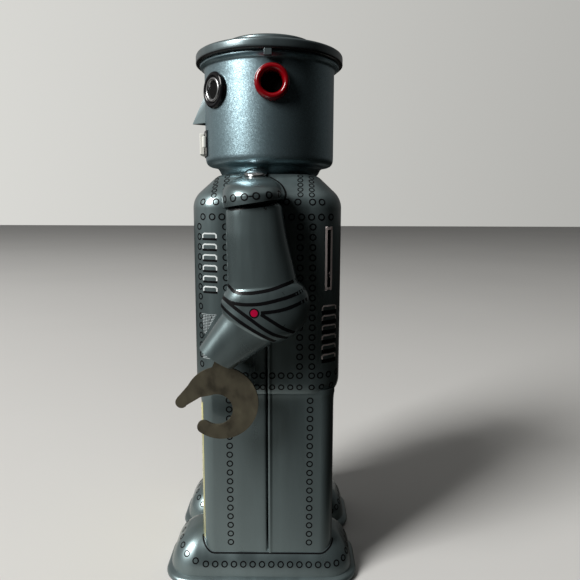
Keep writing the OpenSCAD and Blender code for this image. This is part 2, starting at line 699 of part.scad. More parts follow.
// Walking bar: a strip that hangs on the crank pin, with a long shoe at its foot
module walking_bar(side) color(steel) mirrored(side) {
    pin_c = crank_c - side * [throw, 0];
    difference() {
        union() {
            x_rod(bar_x - 0.8, bar_x + 0.8, 2.4, pin_c);
            translate([bar_x - 0.8, pin_c[0] - 1.6, lift + 2])
                cube([1.6, 3.2, pin_c[1] - lift - 2]);
            translate([bar_x - shoe_w / 2, foot_y - side * throw - shoe_len / 2, lift])
                cube([shoe_w, shoe_len, 3.4]);
        }
        x_rod(bar_x - 2, bar_x + 2, 0.9 + run, pin_c);
    }
}
module left_walking_bar() walking_bar(1);
module right_walking_bar() walking_bar(-1);

// ---- Drawing -------------------------------------------------------------------

head_drum();
head_lid();
lid_clips();
left_eye_grommet();
right_eye_grommet();
left_eye_eyelet();
right_eye_eyelet();
left_ear_ring();
right_ear_ring();
nose();
mouth_plate();
teeth();
neck_rivet();
front_shell();
back_shell();
left_shoulder_cap();
right_shoulder_cap();
left_cap_rivet();
right_cap_rivet();
left_arm_pivot();
right_arm_pivot();
left_arm_outer();
left_arm_inner();
right_arm_outer();
right_arm_inner();
left_claw();
right_claw();
left_foot_shell();
right_foot_shell();
left_sole_plate();
right_sole_plate();
left_motor_plate();
right_motor_plate();
motor_pillars();
mainspring();
great_wheel();
click();
click_spring();
winding_arbor();
ratchet_wheel();
winding_key();
second_arbor();
second_wheel();
crank_arbor();
left_crank();
right_crank();
governor_arbor();
governor_fly();
left_walking_bar();
right_walking_bar();
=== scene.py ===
import json
import math

import bmesh
import bpy
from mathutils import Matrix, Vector
from mathutils.bvhtree import BVHTree


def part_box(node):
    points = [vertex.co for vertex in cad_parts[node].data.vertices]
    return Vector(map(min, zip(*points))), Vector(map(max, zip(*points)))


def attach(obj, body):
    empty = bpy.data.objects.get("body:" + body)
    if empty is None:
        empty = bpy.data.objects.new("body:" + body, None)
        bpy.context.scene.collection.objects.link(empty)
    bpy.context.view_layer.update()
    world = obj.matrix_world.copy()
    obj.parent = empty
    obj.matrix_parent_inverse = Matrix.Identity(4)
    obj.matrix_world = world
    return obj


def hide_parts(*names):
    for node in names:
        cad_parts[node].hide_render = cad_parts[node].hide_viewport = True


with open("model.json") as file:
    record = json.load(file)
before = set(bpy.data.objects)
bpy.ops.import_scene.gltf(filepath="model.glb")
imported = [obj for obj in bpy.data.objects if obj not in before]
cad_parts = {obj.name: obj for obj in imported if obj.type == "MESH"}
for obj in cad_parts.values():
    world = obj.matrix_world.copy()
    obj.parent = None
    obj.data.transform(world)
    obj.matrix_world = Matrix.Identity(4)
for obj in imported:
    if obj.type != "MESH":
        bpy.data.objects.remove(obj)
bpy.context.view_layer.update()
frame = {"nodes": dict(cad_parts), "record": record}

# The script works in millimetres; MM turns them into Blender's metres.
MM = 0.001
SIDES = {"left": 1, "right": -1}


def box_mm(node):
    """Lowest and highest corner of a CAD node, in millimetres."""
    low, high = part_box(node)
    return low / MM, high / MM


SHELL_LOW, SHELL_HIGH = box_mm("front_shell")
TORSO_HX = SHELL_HIGH.x
TORSO_HY = -SHELL_LOW.y
TORSO_R = 10
DECK_Z = SHELL_HIGH.z
FLOOR_Z = DECK_Z - 72.8
# The torso's lower edge curves in and up by these.
EDGE_IN = 2.2
EDGE_UP = 5
# The shoulder: an arc, a flat run at 45 degrees, and a smaller arc into the deck.
LOW_ARC = 7.5
FLAT_RUN = 6.2
TOP_ARC = 5
DIAGONAL = math.sin(math.pi / 4)
SHOULDER_Z = DECK_Z - (LOW_ARC + FLAT_RUN) * DIAGONAL - TOP_ARC * (1 - DIAGONAL)

FOOT_LOW, FOOT_HIGH = box_mm("left_foot_shell")
LEG_X = (FOOT_LOW.x + FOOT_HIGH.x) / 2
LEG_HX = 11.3
LEG_HY = 22.5
LEG_R = 4.5
FOOT_Y = (FOOT_LOW.y + FOOT_HIGH.y) / 2
FOOT_HX = (FOOT_HIGH.x - FOOT_LOW.x) / 2
FOOT_HY = (FOOT_HIGH.y - FOOT_LOW.y) / 2
FOOT_R = 10
# The shoe's rolled edge, the crease above it, and how far its dome goes in and up.
BEAD_R = 1.35
CREASE_IN = 1.7
CREASE_Z = 3
DOME_IN = 13
DOME_UP = 13.3
# Half sizes of the opening on top of the shoe, where the walking bar comes down.
OPENING_HX = 1.8
OPENING_HY = 14

# The drum's lower rim stands out this far beyond its wall.
DRUM_RIM = 1.6
HEAD_R = box_mm("head_drum")[1].x - DRUM_RIM

PIVOT_LOW, PIVOT_HIGH = box_mm("left_arm_pivot")
ARM_Y = (PIVOT_LOW.y + PIVOT_HIGH.y) / 2
ARM_X = box_mm("left_arm_outer")[0].x
# Thickness of the tin.
PLATE = 0.35

# ---- Materials ---------------------------------------------------------------------


def new_material(name, colour, **values):
    """A material with its Principled shader; values are the shader's sockets."""
    mat = bpy.data.materials.new(name)
    mat.use_nodes = True
    shader = mat.node_tree.nodes["Principled BSDF"]
    shader.inputs["Base Color"].default_value = (*colour, 1)
    for socket, value in values.items():
        shader.inputs[socket.replace("_", " ")].default_value = value
    return mat, shader


def add_node(mat, kind, inputs=None, **settings):
    """A node of a material or world; inputs go to its sockets, settings to its properties."""
    made = mat.node_tree.nodes.new(kind)
    for key, value in settings.items():
        setattr(made, key, value)
    for key, value in (inputs or {}).items():
        made.inputs[key].default_value = value
    return made


def wire(mat, start, end):
    mat.node_tree.links.new(start, end)


def vector_node(mat, operation, *sources, **constants):
    """Vector arithmetic on other nodes' outputs; constants are its second vector or its scale."""
    made = add_node(mat, "ShaderNodeVectorMath", operation=operation)
    for source, socket in zip(sources, made.inputs):
        wire(mat, source, socket)
    if "second" in constants:
        made.inputs[1].default_value = constants["second"]
    if "scale" in constants:
        made.inputs["Scale"].default_value = constants["scale"]
    return made


def seen_only_by_camera(mat, seen, felt, output):
    """Shows one shader to the camera and another to every other ray."""
    rays = add_node(mat, "ShaderNodeLightPath")
    pick = add_node(mat, "ShaderNodeMixShader")
    wire(mat, rays.outputs["Is Camera Ray"], pick.inputs[0])
    wire(mat, felt, pick.inputs[1])
    wire(mat, seen, pick.inputs[2])
    wire(mat, pick.outputs["Shader"], mat.node_tree.nodes[output].inputs["Surface"])


def place_coords(mat, stretch=(1, 1, 1)):
    """Object coordinates, stretched along some of the axes."""
    coords = add_node(mat, "ShaderNodeTexCoord")
    mapping = add_node(mat, "ShaderNodeMapping", {"Scale": stretch})
    wire(mat, coords.outputs["Object"], mapping.inputs["Vector"])
    return mapping.outputs["Vector"]


def noise(mat, scale, detail=3, stretch=(1, 1, 1)):
    """Noise over the object's own coordinates."""
    made = add_node(mat, "ShaderNodeTexNoise", {"Scale": scale, "Detail": detail})
    wire(mat, place_coords(mat, stretch), made.inputs["Vector"])
    return made.outputs["Fac"]


def ramp(mat, factor, stops):
    """A colour ramp through (position, colour) stops."""
    made = add_node(mat, "ShaderNodeValToRGB")
    while len(made.color_ramp.elements) < len(stops):
        made.color_ramp.elements.new(0.5)
    for element, (position, colour) in zip(made.color_ramp.elements, stops):
        element.position = position
        element.color = (*colour, 1)
    wire(mat, factor, made.inputs["Fac"])
    return made.outputs["Color"]


def spread(mat, factor, low, high, start=0.3, stop=0.7):
    """Maps a factor between start and stop to low and high."""
    made = add_node(
        mat, "ShaderNodeMapRange", {"From Min": start, "From Max": stop, "To Min": low, "To Max": high}
    )
    wire(mat, factor, made.inputs["Value"])
    return made.outputs["Result"]


def bump(mat, shader, factor, distance_mm, strength=1.0, before=None):
    """Relief of a given depth, on top of an earlier one if there is one."""
    made = add_node(mat, "ShaderNodeBump", {"Strength": strength, "Distance": distance_mm * MM})
    wire(mat, factor, made.inputs["Height"])
    if before is not None:
        wire(mat, before, made.inputs["Normal"])
    wire(mat, made.outputs["Normal"], shader.inputs["Normal"])
    return made.outputs["Normal"]


def shade(colour, by):
    return tuple(c * by for c in colour)


def mottled(mat, shader, colour, scale, depth):
    """Base colour that drifts lighter and darker over the surface."""
    low, high = shade(colour, 1 - depth), shade(colour, 1 + depth)
    wire(mat, ramp(mat, noise(mat, scale), [(0.3, low), (0.7, high)]), shader.inputs["Base Color"])


def printed_tin(name, colour, coat=0.6, rough=(0.26, 0.4)):
    """Gloss printed tinplate: a clear coat over thin ink, with dents, rub marks and fine grain."""
    mat, shader = new_material(
        name, colour, Metallic=0.8, Coat_Weight=coat, Coat_Roughness=0.1, Coat_IOR=1.5,
        Specular_IOR_Level=0.45,
    )
    drift = noise(mat, 40, 4)
    rubs = noise(mat, 130, 5, (1, 1, 0.12))
    blend = add_node(mat, "ShaderNodeMath", {1: 0.5}, operation="MULTIPLY_ADD")
    wire(mat, drift, blend.inputs[0])
    wire(mat, spread(mat, rubs, 0.0, 0.5), blend.inputs[2])
    stops = [(0.3, shade(colour, 0.9)), (0.55, colour), (0.8, shade(colour, 1.14))]
    wire(mat, ramp(mat, blend.outputs[0], stops), shader.inputs["Base Color"])
    wire(mat, spread(mat, rubs, *rough), shader.inputs["Roughness"])
    dents = bump(mat, shader, noise(mat, 55, 2), 0.35, 0.25)
    bump(mat, shader, noise(mat, 1400, 2), 0.012, 0.35, before=dents)
    return mat


def flake_paint(name, colour):
    """Metallic paint whose flakes lean at random, so that they catch the light one by one."""
    mat, shader = new_material(
        name, colour, Metallic=0.95, Roughness=0.38, Coat_Weight=0.2, Coat_Roughness=0.25
    )
    flakes = add_node(mat, "ShaderNodeTexVoronoi", {"Scale": 5600.0})
    wire(mat, place_coords(mat), flakes.inputs["Vector"])
    grey = add_node(mat, "ShaderNodeRGBToBW")
    wire(mat, flakes.outputs["Color"], grey.inputs["Color"])
    stops = [(0.25, shade(colour, 0.88)), (0.6, colour), (0.85, shade(colour, 1.25))]
    wire(mat, ramp(mat, grey.outputs["Val"], stops), shader.inputs["Base Color"])
    lean = vector_node(mat, "SUBTRACT", flakes.outputs["Color"], second=(0.5, 0.5, 0.5))
    scaled = vector_node(mat, "SCALE", lean.outputs[0], scale=0.12)
    geometry = add_node(mat, "ShaderNodeNewGeometry")
    turned = vector_node(mat, "ADD", geometry.outputs["Normal"], scaled.outputs[0])
    unit = vector_node(mat, "NORMALIZE", turned.outputs[0])
    bump(mat, shader, noise(mat, 260, 2), 0.03, 0.4, before=unit.outputs[0])
    return mat


def rolled_metal(name, colour, rough):
    """Bare metal with a fine rolled grain."""
    mat, shader = new_material(name, colour, Metallic=1.0)
    grain = noise(mat, 300, 4, (1, 1, 0.1))
    mottled(mat, shader, colour, 70, 0.14)
    wire(mat, spread(mat, grain, rough * 0.8, rough * 1.25), shader.inputs["Roughness"])
    bump(mat, shader, grain, 0.02, 0.4)
    return mat


def claw_metal(name):
    """Dull olive plate, blotched, with fine scratches across it and darker worn spots."""
    colour = (0.082, 0.074, 0.050)
    mat, shader = new_material(name, colour, Metallic=0.4, Specular_IOR_Level=0.3)
    blotch = noise(mat, 210, 8, (1, 1, 0.7))
    stops = [
        (0.32, (0.042, 0.037, 0.026)), (0.46, (0.07, 0.062, 0.043)),
        (0.6, colour), (0.76, (0.12, 0.108, 0.075)),
    ]
    wire(mat, ramp(mat, blotch, stops), shader.inputs["Base Color"])
    wire(mat, spread(mat, blotch, 0.42, 0.62), shader.inputs["Roughness"])
    scratches = bump(mat, shader, noise(mat, 900, 5, (1, 0.15, 1)), 0.03, 0.6)
    bump(mat, shader, noise(mat, 1600, 3), 0.02, 0.5, before=scratches)
    return mat


def moulded(name, colour, rough, coat=0.25, gloss=0.5):
    """Rubber, gloss enamel or plastic with a faint surface grain."""
    mat, shader = new_material(
        name, colour, Coat_Weight=coat, Coat_Roughness=rough * 0.5, Specular_IOR_Level=gloss
    )
    mottled(mat, shader, colour, 150, 0.08)
    wire(mat, spread(mat, noise(mat, 200, 2), rough * 0.85, rough * 1.15), shader.inputs["Roughness"])
    bump(mat, shader, noise(mat, 900, 2), 0.01, 0.3)
    return mat


def ink(name, colour, rough=0.3, gloss=0.25):
    """Printing ink under a thin clear coat, a little uneven."""
    mat, shader = new_material(
        name, colour, Roughness=rough, Coat_Weight=0.1, Coat_Roughness=0.15, Specular_IOR_Level=gloss
    )
    mottled(mat, shader, colour, 260, 0.1)
    bump(mat, shader, noise(mat, 1200, 2), 0.008, 0.3)
    return mat


TIN = printed_tin("printed_tin", (0.165, 0.215, 0.222))
LID_TIN = printed_tin("lid_paint", (0.14, 0.18, 0.19))
FLAKE = flake_paint("head_flake_paint", (0.255, 0.36, 0.40))
# Painted shade: the nose takes the head's paint much darkened, standing in for the shade on it; its coat is
# also thinner and rougher.
NOSE_DARKENED = printed_tin("nose_paint_darkened", (0.075, 0.097, 0.102), 0.12, (0.42, 0.55))
# Painted shade: matt black for the discs that stand in for the shade inside the drum, behind the eyes and
# ears.
SHADE_BLACK = moulded("painted_shade_black", (0.003, 0.003, 0.003), 0.8, 0, 0.1)
STEEL = rolled_metal("plain_steel", (0.52, 0.53, 0.54), 0.34)
BRIGHT = rolled_metal("bright_rivet", (0.48, 0.49, 0.50), 0.2)
BRASS = rolled_metal("wheel_brass", (0.70, 0.50, 0.22), 0.28)
BLUED = rolled_metal("spring_steel", (0.12, 0.14, 0.2), 0.3)
CLAW = claw_metal("claw_plate")
RUBBER = moulded("black_rubber", (0.005, 0.005, 0.006), 0.16, 0, 0.25)
RED = moulded("red_enamel", (0.19, 0.001, 0.004), 0.2)
EYELET = rolled_metal("worn_eyelet", (0.34, 0.345, 0.35), 0.28)
BLACK = moulded("black_enamel", (0.008, 0.009, 0.01), 0.25)
WHITE = moulded("white_enamel", (0.80, 0.80, 0.74), 0.35)
# Black ink for the print, also used for the painted shade lines round the caps, under the caps and round the
# feet of the legs.
BLACK_INK_AND_SHADE = ink("black_ink_and_shade", (0.0025, 0.0025, 0.003), 0.4, 0.12)
WHITE_INK = ink("white_ink", (0.62, 0.66, 0.66))
GREY_INK = ink("grey_ink", (0.33, 0.37, 0.38))
PINK_INK = ink("pink_ink", (0.85, 0.74, 0.72))
RED_INK = ink("red_ink", (0.34, 0.002, 0.032))
YELLOW_INK = ink("yellow_ink", (0.66, 0.62, 0.26))

# ---- Shapes ------------------------------------------------------------------------


def loft(rings, closed=True):
    """Quads between rings of equal length, listed upwards and anticlockwise from above."""
    n = len(rings[0])
    faces = []
    for j in range(len(rings) - 1):
        for i in range(n if closed else n - 1):
            a, b = j * n + i, j * n + (i + 1) % n
            faces.append((a, b, b + n, a + n))
    return [tuple(p) for ring in rings for p in ring], faces


def lathe(profile, steps=96):
    """Turns a closed (radius, height) outline round Z; outlines run anticlockwise."""
    n = len(profile)
    turns = [2 * math.pi * i / steps for i in range(steps)]
    verts = [(r * math.cos(a), r * math.sin(a), z) for a in turns for r, z in profile]
    faces = [
        (i * n + j, (i + 1) % steps * n + j, (i + 1) % steps * n + (j + 1) % n, i * n + (j + 1) % n)
        for i in range(steps)
        for j in range(n)
    ]
    return verts, faces


def curve_point(a, b, c, d, t):
    """Point of a Catmull-Rom curve between b and c, for numbers or vectors."""
    square = 2 * a - 5 * b + 4 * c - d
    cube = 3 * b - a - 3 * c + d
    return 0.5 * (2 * b + (c - a) * t + square * t * t + cube * t ** 3)


def smooth_path(points, parts=4, closed=False):
    """Points of a Catmull-Rom curve through the given ones."""
    points = [Vector(p) for p in points]
    n = len(points)
    found = []
    for k in range(n if closed else n - 1):
        if closed:
            four = [points[(k + i) % n] for i in (-1, 0, 1, 2)]
        else:
            four = [points[max(k - 1, 0)], points[k], points[k + 1], points[min(k + 2, n - 1)]]
        found += [curve_point(*four, i / parts) for i in range(parts)]
    return found if closed else found + [points[-1]]


def mirror_x(shape):
    """The same shape for the robot's other side."""
    verts, faces = shape
    return [(-x, y, z) for x, y, z in verts], [tuple(reversed(f)) for f in faces]


def joined(*shapes):
    """Several shapes as one mesh."""
    verts, faces = [], []
    for shape in shapes:
        start = len(verts)
        verts += [tuple(v) for v in shape[0]]
        faces += [tuple(i + start for i in f) for f in shape[1]]
    return verts, faces


def aimed(shape, origin, along):
    """Moves a shape lathed round Z so that its axis points along a direction from origin."""
    matrix = Vector(along).to_track_quat("Z", "Y").to_matrix()
    return [tuple(matrix @ Vector(v) + Vector(origin)) for v in shape[0]], shape[1]


def freeze(obj):
    """Applies the modifiers to the mesh."""
    graph = bpy.context.evaluated_depsgraph_get()
    mesh = bpy.data.meshes.new_from_object(obj.evaluated_get(graph))
    obj.modifiers.clear()
    obj.data = mesh


def clean(obj, merge_mm):
    """Merges doubled corners and turns every closed shell's faces outwards."""
    work = bmesh.new()
    work.from_mesh(obj.data)
    bmesh.ops.remove_doubles(work, verts=work.verts, dist=merge_mm * MM)
    bmesh.ops.recalc_face_normals(work, faces=work.faces)
    work.to_mesh(obj.data)
    work.free()


def new_object(name, data):
    """An object in the scene for a mesh, light or camera."""
    obj = bpy.data.objects.new(name, data)
    bpy.context.scene.collection.objects.link(obj)
    return obj


def bare_object(name, shape):
    """An object from a shape in millimetres, with no material yet."""
    mesh = bpy.data.meshes.new(name)
    mesh.from_pydata([Vector(v) * MM for v in shape[0]], [], shape[1])
    return new_object(name, mesh)


def finish_piece(
    obj, material, body, stands_for, slot, sharp=35, thickness=0, bevel=0, cutters=(), merge=0.002
):
    """Gives a mesh its wall, holes and rounded edges, its shading, material and body."""
    obj.data.materials.clear()
    obj.data.materials.append(material)
    if thickness:
        wall = obj.modifiers.new("wall", "SOLIDIFY")
        wall.thickness = thickness * MM
        wall.offset = -1
        wall.use_even_offset = True
        freeze(obj)
    for cutter in cutters:
        hole = obj.modifiers.new("hole", "BOOLEAN")
        hole.object = cutter
        hole.solver = "EXACT"
    freeze(obj)
    for cutter in cutters:
        bpy.data.objects.remove(cutter)
    clean(obj, merge)
    if bevel:
        edge = obj.modifiers.new("edge", "BEVEL")
        edge.width = bevel * MM
        edge.segments = 2
        edge.limit_method = "ANGLE"
        edge.angle_limit = math.radians(35)
        freeze(obj)
    obj.data.polygons.foreach_set("use_smooth", [True] * len(obj.data.polygons))
    obj.data.set_sharp_from_angle(angle=math.radians(sharp))
    weights = obj.modifiers.new("normals", "WEIGHTED_NORMAL")
    weights.keep_sharp = True
    freeze(obj)
    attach(obj, body)
    if stands_for:
        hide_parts(*stands_for)
    return obj


def make_piece(name, shape, material, body, stands_for, slot, **finish):
    """A finished piece; stands_for lists the CAD nodes that it replaces."""
    return finish_piece(bare_object(name, shape), material, body, stands_for, slot, **finish)


def tin_piece(name, shape, node, body="root", sharp=50):
    """A hollow pressing of printed tinplate in place of a CAD node."""
    make_piece(name, shape, TIN, body, [node], "printed_tin", thickness=PLATE, sharp=sharp)


def softened(name, node, material, body, slot, bevel):
    """A copy of a CAD node's mesh with its edges broken."""
    obj = new_object(name, frame["nodes"][node].data.copy())
    work = bmesh.new()
    work.from_mesh(obj.data)
    bmesh.ops.remove_doubles(work, verts=work.verts, dist=0.01 * MM)
    bmesh.ops.dissolve_limit(work, angle_limit=math.radians(1), verts=work.verts, edges=work.edges)
    work.to_mesh(obj.data)
    work.free()
    return finish_piece(obj, material, body, [node], slot, bevel=bevel)


def rounded_rect(hx, hy, r, steps=10):
    """Corner points of a rounded rectangle, anticlockwise from the +X side."""
    points = []
    for q, (sx, sy) in enumerate(((1, 1), (-1, 1), (-1, -1), (1, -1))):
        for k in range(steps + 1):
            a = math.pi / 2 * (q + k / steps)
            points.append((sx * (hx - r) + r * math.cos(a), sy * (hy - r) + r * math.sin(a)))
    return points


def arc(start, stop, step):
    """Angles from start to stop, given in whole degrees, as radians."""
    return [math.radians(a) for a in range(start, stop + 1, step)]


# ---- Torso and legs ----------------------------------------------------------------

# How the plate runs into the seam: distance from the seam's middle, and how far out.
FRONT_SEAM = [(0.22, -0.6), (0.28, -0.22), (0.5, -0.05), (0.9, 0), (1.6, 0)]
BACK_SEAM = [(0.3, -0.6), (0.34, -0.1), (0.55, 0.2), (0.9, 0.32), (1.25, 0.24), (1.6, 0.07), (2.0, 0)]


def half_section(hx, hy, r, back, curl=1.0):
    """Half of a rounded rectangle from seam to seam, anticlockwise."""
    seam = BACK_SEAM if back else FRONT_SEAM
    points = [(hx + out * curl, y) for y, out in seam]
    start = seam[-1][0]
    points += [(hx, start + (hy - r - start) * k / 6) for k in range(1, 6)]
    corner = [math.pi / 2 * k / 12 for k in range(13)]
    points += [(hx - r + r * math.cos(a), hy - r + r * math.sin(a)) for a in corner]
    points += [((hx - r) * (1 - k / 4), hy) for k in range(1, 4)]
    points.append((0, hy))
    points += [(-x, y) for x, y in reversed(points[:-1])]
    return points if back else [(-x, -y) for x, y in points]


def torso_levels():
    """Inset and height of the torso's sections, from its floor to its deck."""
    wall_z = FLOOR_Z + EDGE_UP
    levels = [(EDGE_IN * (1 - math.sin(a)), FLOOR_Z + EDGE_UP * (1 - math.cos(a))) for a in arc(0, 90, 9)]
    levels += [(0, wall_z + (SHOULDER_Z - wall_z) * k / 12) for k in range(1, 12)]
    levels += [(LOW_ARC * (1 - math.cos(a)), SHOULDER_Z + LOW_ARC * math.sin(a)) for a in arc(0, 45, 5)]
    inset = LOW_ARC * (1 - DIAGONAL) + FLAT_RUN * DIAGONAL
    levels += [
        (inset + TOP_ARC * (DIAGONAL - math.cos(a)), DECK_Z - TOP_ARC * (1 - math.sin(a)))
        for a in arc(45, 90, 5)
    ]
    return levels


def drawn_in(ring, scale, z, middle_y):
    """A section shrunk towards the middle of the torso, at a height."""
    return [(x * scale, (y - middle_y) * scale + middle_y, z) for x, y, _ in ring]


def torso_half(back):
    """One half of the torso, with its floor and deck."""
    rings = []
    for inset, z in torso_levels():
        r = max(TORSO_R - 0.35 * inset, 1)
        curl = max(0, 1 - inset / 3)
        section = half_section(TORSO_HX - inset, TORSO_HY - inset, r, back, curl)
        rings.append([(x, y, z) for x, y in section])
    middle_y = 0.25 if back else -0.25
    floor = [drawn_in(rings[0], scale, FLOOR_Z, middle_y) for scale in (0.02, 0.3, 0.6, 0.85)]
    deck = [drawn_in(rings[-1], scale, DECK_Z, middle_y) for scale in (0.9, 0.6, 0.25)]
    return loft(floor + rings + deck, closed=False)


def leg_half(back):
    """One half of the left leg, from inside the foot up into the torso, with a flare at the top."""
    levels = [(0, z) for z in (9, 12, 20, 30, 40, 50, 58, 63.2)]
    levels += [(0.03, 64.6), (0.08, 65.6), (0.16, 66.4), (0.26, 67.0), (0.34, 67.5), (0.3, 69)]
    rings = []
    for out, z in levels:
        section = half_section(LEG_HX + out, LEG_HY + out, LEG_R + out, back)
        rings.append([(x + LEG_X, y, z) for x, y in section])
    return loft(rings, closed=False)


def body_half(back):
    """Torso and both legs, which are one pressing."""
    leg = leg_half(back)
    return joined(torso_half(back), leg, mirror_x(leg))


FRONT_SKIN = body_half(False)
BACK_SKIN = body_half(True)

# ---- Feet --------------------------------------------------------------------------


def foot_levels():
    """Inset and height of the foot's sections: rolled edge, crease, dome."""
    levels = [(BEAD_R * (1 - math.cos(a)), BEAD_R * (1 + math.sin(a))) for a in arc(-75, 65, 14)]
    levels += [(BEAD_R, CREASE_Z - 0.15), (CREASE_IN, CREASE_Z)]
    levels += [
        (CREASE_IN + DOME_IN * (1 - math.cos(a)), CREASE_Z + DOME_UP * math.sin(a)) for a in arc(5, 85, 5)
    ]
    return levels


def foot_shape():
    """The shoe, open on top inside the leg."""
    sections = []
    for inset, z in foot_levels():
        r = min(FOOT_R - 0.62 * inset, FOOT_HX - inset - 0.2)
        sections.append((rounded_rect(FOOT_HX - inset, FOOT_HY - inset, r), z))
    sections.append((rounded_rect(OPENING_HX, OPENING_HY, OPENING_HX - 0.2), CREASE_Z + DOME_UP))
    rings = [[(x + LEG_X, y + FOOT_Y, z) for x, y in section] for section, z in sections]
    return loft(rings)


FOOT_SKIN = foot_shape()

# ---- Shoulder caps -----------------------------------------------------------------

CAP_Y = ARM_Y - 0.1
CAP_X = 20
CAP_LIP_Z = 130
CAP_LIP_TILT = math.radians(8.5)
CAP_TILT_HEIGHT = 4
CAP_SQUARENESS = 0.34
# Foot and outward tilt of the rivet that holds the cap.
RIVET_X = 21.9
RIVET_Z = 139.15
RIVET_TILT = math.radians(22)
# Height, outermost X and half width of the cap's rings, from its lip up to the rivet.
CAP_RINGS = [
    (CAP_LIP_Z, 45, 9.35), (130.6, 45.02, 9.5), (131.6, 45.02, 9.68), (132.8, 44.8, 9.7),
    (134.4, 43.5, 9.3), (135.8, 41, 8.4), (136.9, 37, 7.2), (137.7, 32, 5.9), (138.3, 27.2, 4.9),
    (138.6, 24.2, 4.4), (138.5, 21.5, 3.4),
]


def cap_ring(ring, steps=28):
    """One section of the cap; the lowest ones lean with its lip."""
    z, reach, half = ring
    lean = math.tan(CAP_LIP_TILT) * max(0, 1 - (z - CAP_LIP_Z) / CAP_TILT_HEIGHT)
    points = []
    for k in range(steps + 1):
        a = -math.pi / 2 + math.pi * k / steps
        x = CAP_X + (reach - CAP_X) * max(math.cos(a), 0) ** CAP_SQUARENESS
        y = half * math.sin(a)
        points.append((x, CAP_Y + y, z + y * lean))
    return points


def cap_shape():
    """The cap, from its lip up to the rivet."""
    return loft([cap_ring(r) for r in smooth_path(CAP_RINGS, 4)], closed=False)


CAP_SKIN = cap_shape()

# ---- Arms --------------------------------------------------------------------------

# How round the arm's oval sections are, and how far each half stays off the split.
ARM_ROUNDNESS = 0.86
ARM_SPLIT = 0.06
# Front point, back point and half thickness of the arm's sections, wrist first.
FOREARM_CUTS = [
    ((-20.4, 86.0), (-9.9, 79.3), 5.3), ((-16.65, 91.4), (-3.65, 83.4), 6.0),
    ((-13.0, 96.8), (2.7, 87.6), 6.7),
]
ELBOW_CUTS = [
    FOREARM_CUTS[-1], ((-13.3, 97.6), (5.2, 88.0), 7.1),
    ((-13.5, 98.5), (9.4, 90.3), 7.3), ((-13.6, 99.4), (12.6, 94.2), 7.35),
    ((-13.5, 100.4), (13.8, 98.6), 7.35), ((-13.1, 101.6), (13.2, 102.9), 7.25),
    ((-12.3, 103.1), (11.8, 105.2), 7.0), ((-11.5, 104.4), (10.1, 106.6), 6.6),
]
UPPER_ARM_CUTS = [
    ELBOW_CUTS[-1], ((-11.4, 107.0), (9.6, 107.9), 6.55),
    ((-11.7, 119.8), (6.8, 119.8), 6.45), ((-11.65, 127.7), (5.1, 129.1), 6.0),
    ((-10.1, 129.7), (3.3, 130.9), 5.4), ((-8.2, 132.4), (1.3, 133.0), 4.9),
]
ARM_TOP_CUT = ((-6.2, 134.7), (-0.8, 134.7), 3.2)
# The wrist's edge folds inwards along the forearm: scale and depth of its sections.
WRIST_FOLD = [(0.02, 1.5), (0.7, 1.5), (0.8, 1.2), (0.88, 0.25), (0.94, 0.02)]
FOREARM_WAY = Vector((0.54, 0.84))


def flat_cut(cut):
    """A section as one row of numbers."""
    front, back, thick = cut
    return [*front, *back, thick]


def between_cuts(cuts, parts, curved):
    """Sections between the given ones, on a curve or a straight line."""
    flat = [flat_cut(cut) for cut in cuts]
    found = []
    for k in range(len(flat) - 1):
        a, b, c, d = flat[max(k - 1, 0)], flat[k], flat[k + 1], flat[min(k + 2, len(flat) - 1)]
        for i in range(parts):
            t = i / parts
            if curved:
                found.append([curve_point(*four, t) for four in zip(a, b, c, d)])
            else:
                found.append([q + (r - q) * t for q, r in zip(b, c)])
    return found


def arm_section(cut, outer, steps=24):
    """Half an oval between the front and back points, on one side of the split plane."""
    front, back, thick = Vector(cut[0:2]), Vector(cut[2:4]), cut[4]
    mid, half = (front + back) / 2, (front - back) / 2
    sign = 1 if outer else -1
    points = []
    for k in range(steps + 1):
        a = math.pi * k / steps
        along = math.copysign(abs(math.cos(a)) ** ARM_ROUNDNESS, math.cos(a))
        across = math.sin(a) ** ARM_ROUNDNESS if 0 < k < steps else 0
        yz = mid + half * along
        points.append((ARM_X + sign * (ARM_SPLIT + across * thick), yz.x, yz.y))
    return points


def arm_sections():
    """The wrist's folded end, then the forearm, elbow and upper arm."""
    wrist = between_cuts(FOREARM_CUTS, 4, False)
    first = wrist[0]
    middle = Vector(((first[0] + first[2]) / 2, (first[1] + first[3]) / 2))
    folded = []
    for scale, depth in WRIST_FOLD:
        front = middle + (Vector(first[0:2]) - middle) * scale + FOREARM_WAY * depth
        back = middle + (Vector(first[2:4]) - middle) * scale + FOREARM_WAY * depth
        folded.append([*front, *back, first[4] * scale])
    elbow = between_cuts(ELBOW_CUTS, 4, True)
    upper = between_cuts(UPPER_ARM_CUTS, 4, False)
    return folded + wrist + elbow + upper + [flat_cut(UPPER_ARM_CUTS[-1]), flat_cut(ARM_TOP_CUT)]


def arm_half(outer):
    """One of the arm's two pressings."""
    verts, faces = loft([arm_section(cut, outer) for cut in arm_sections()], closed=False)
    return verts, (faces if outer else [tuple(reversed(f)) for f in faces])


ARM_OUTER = arm_half(True)
ARM_INNER = arm_half(False)
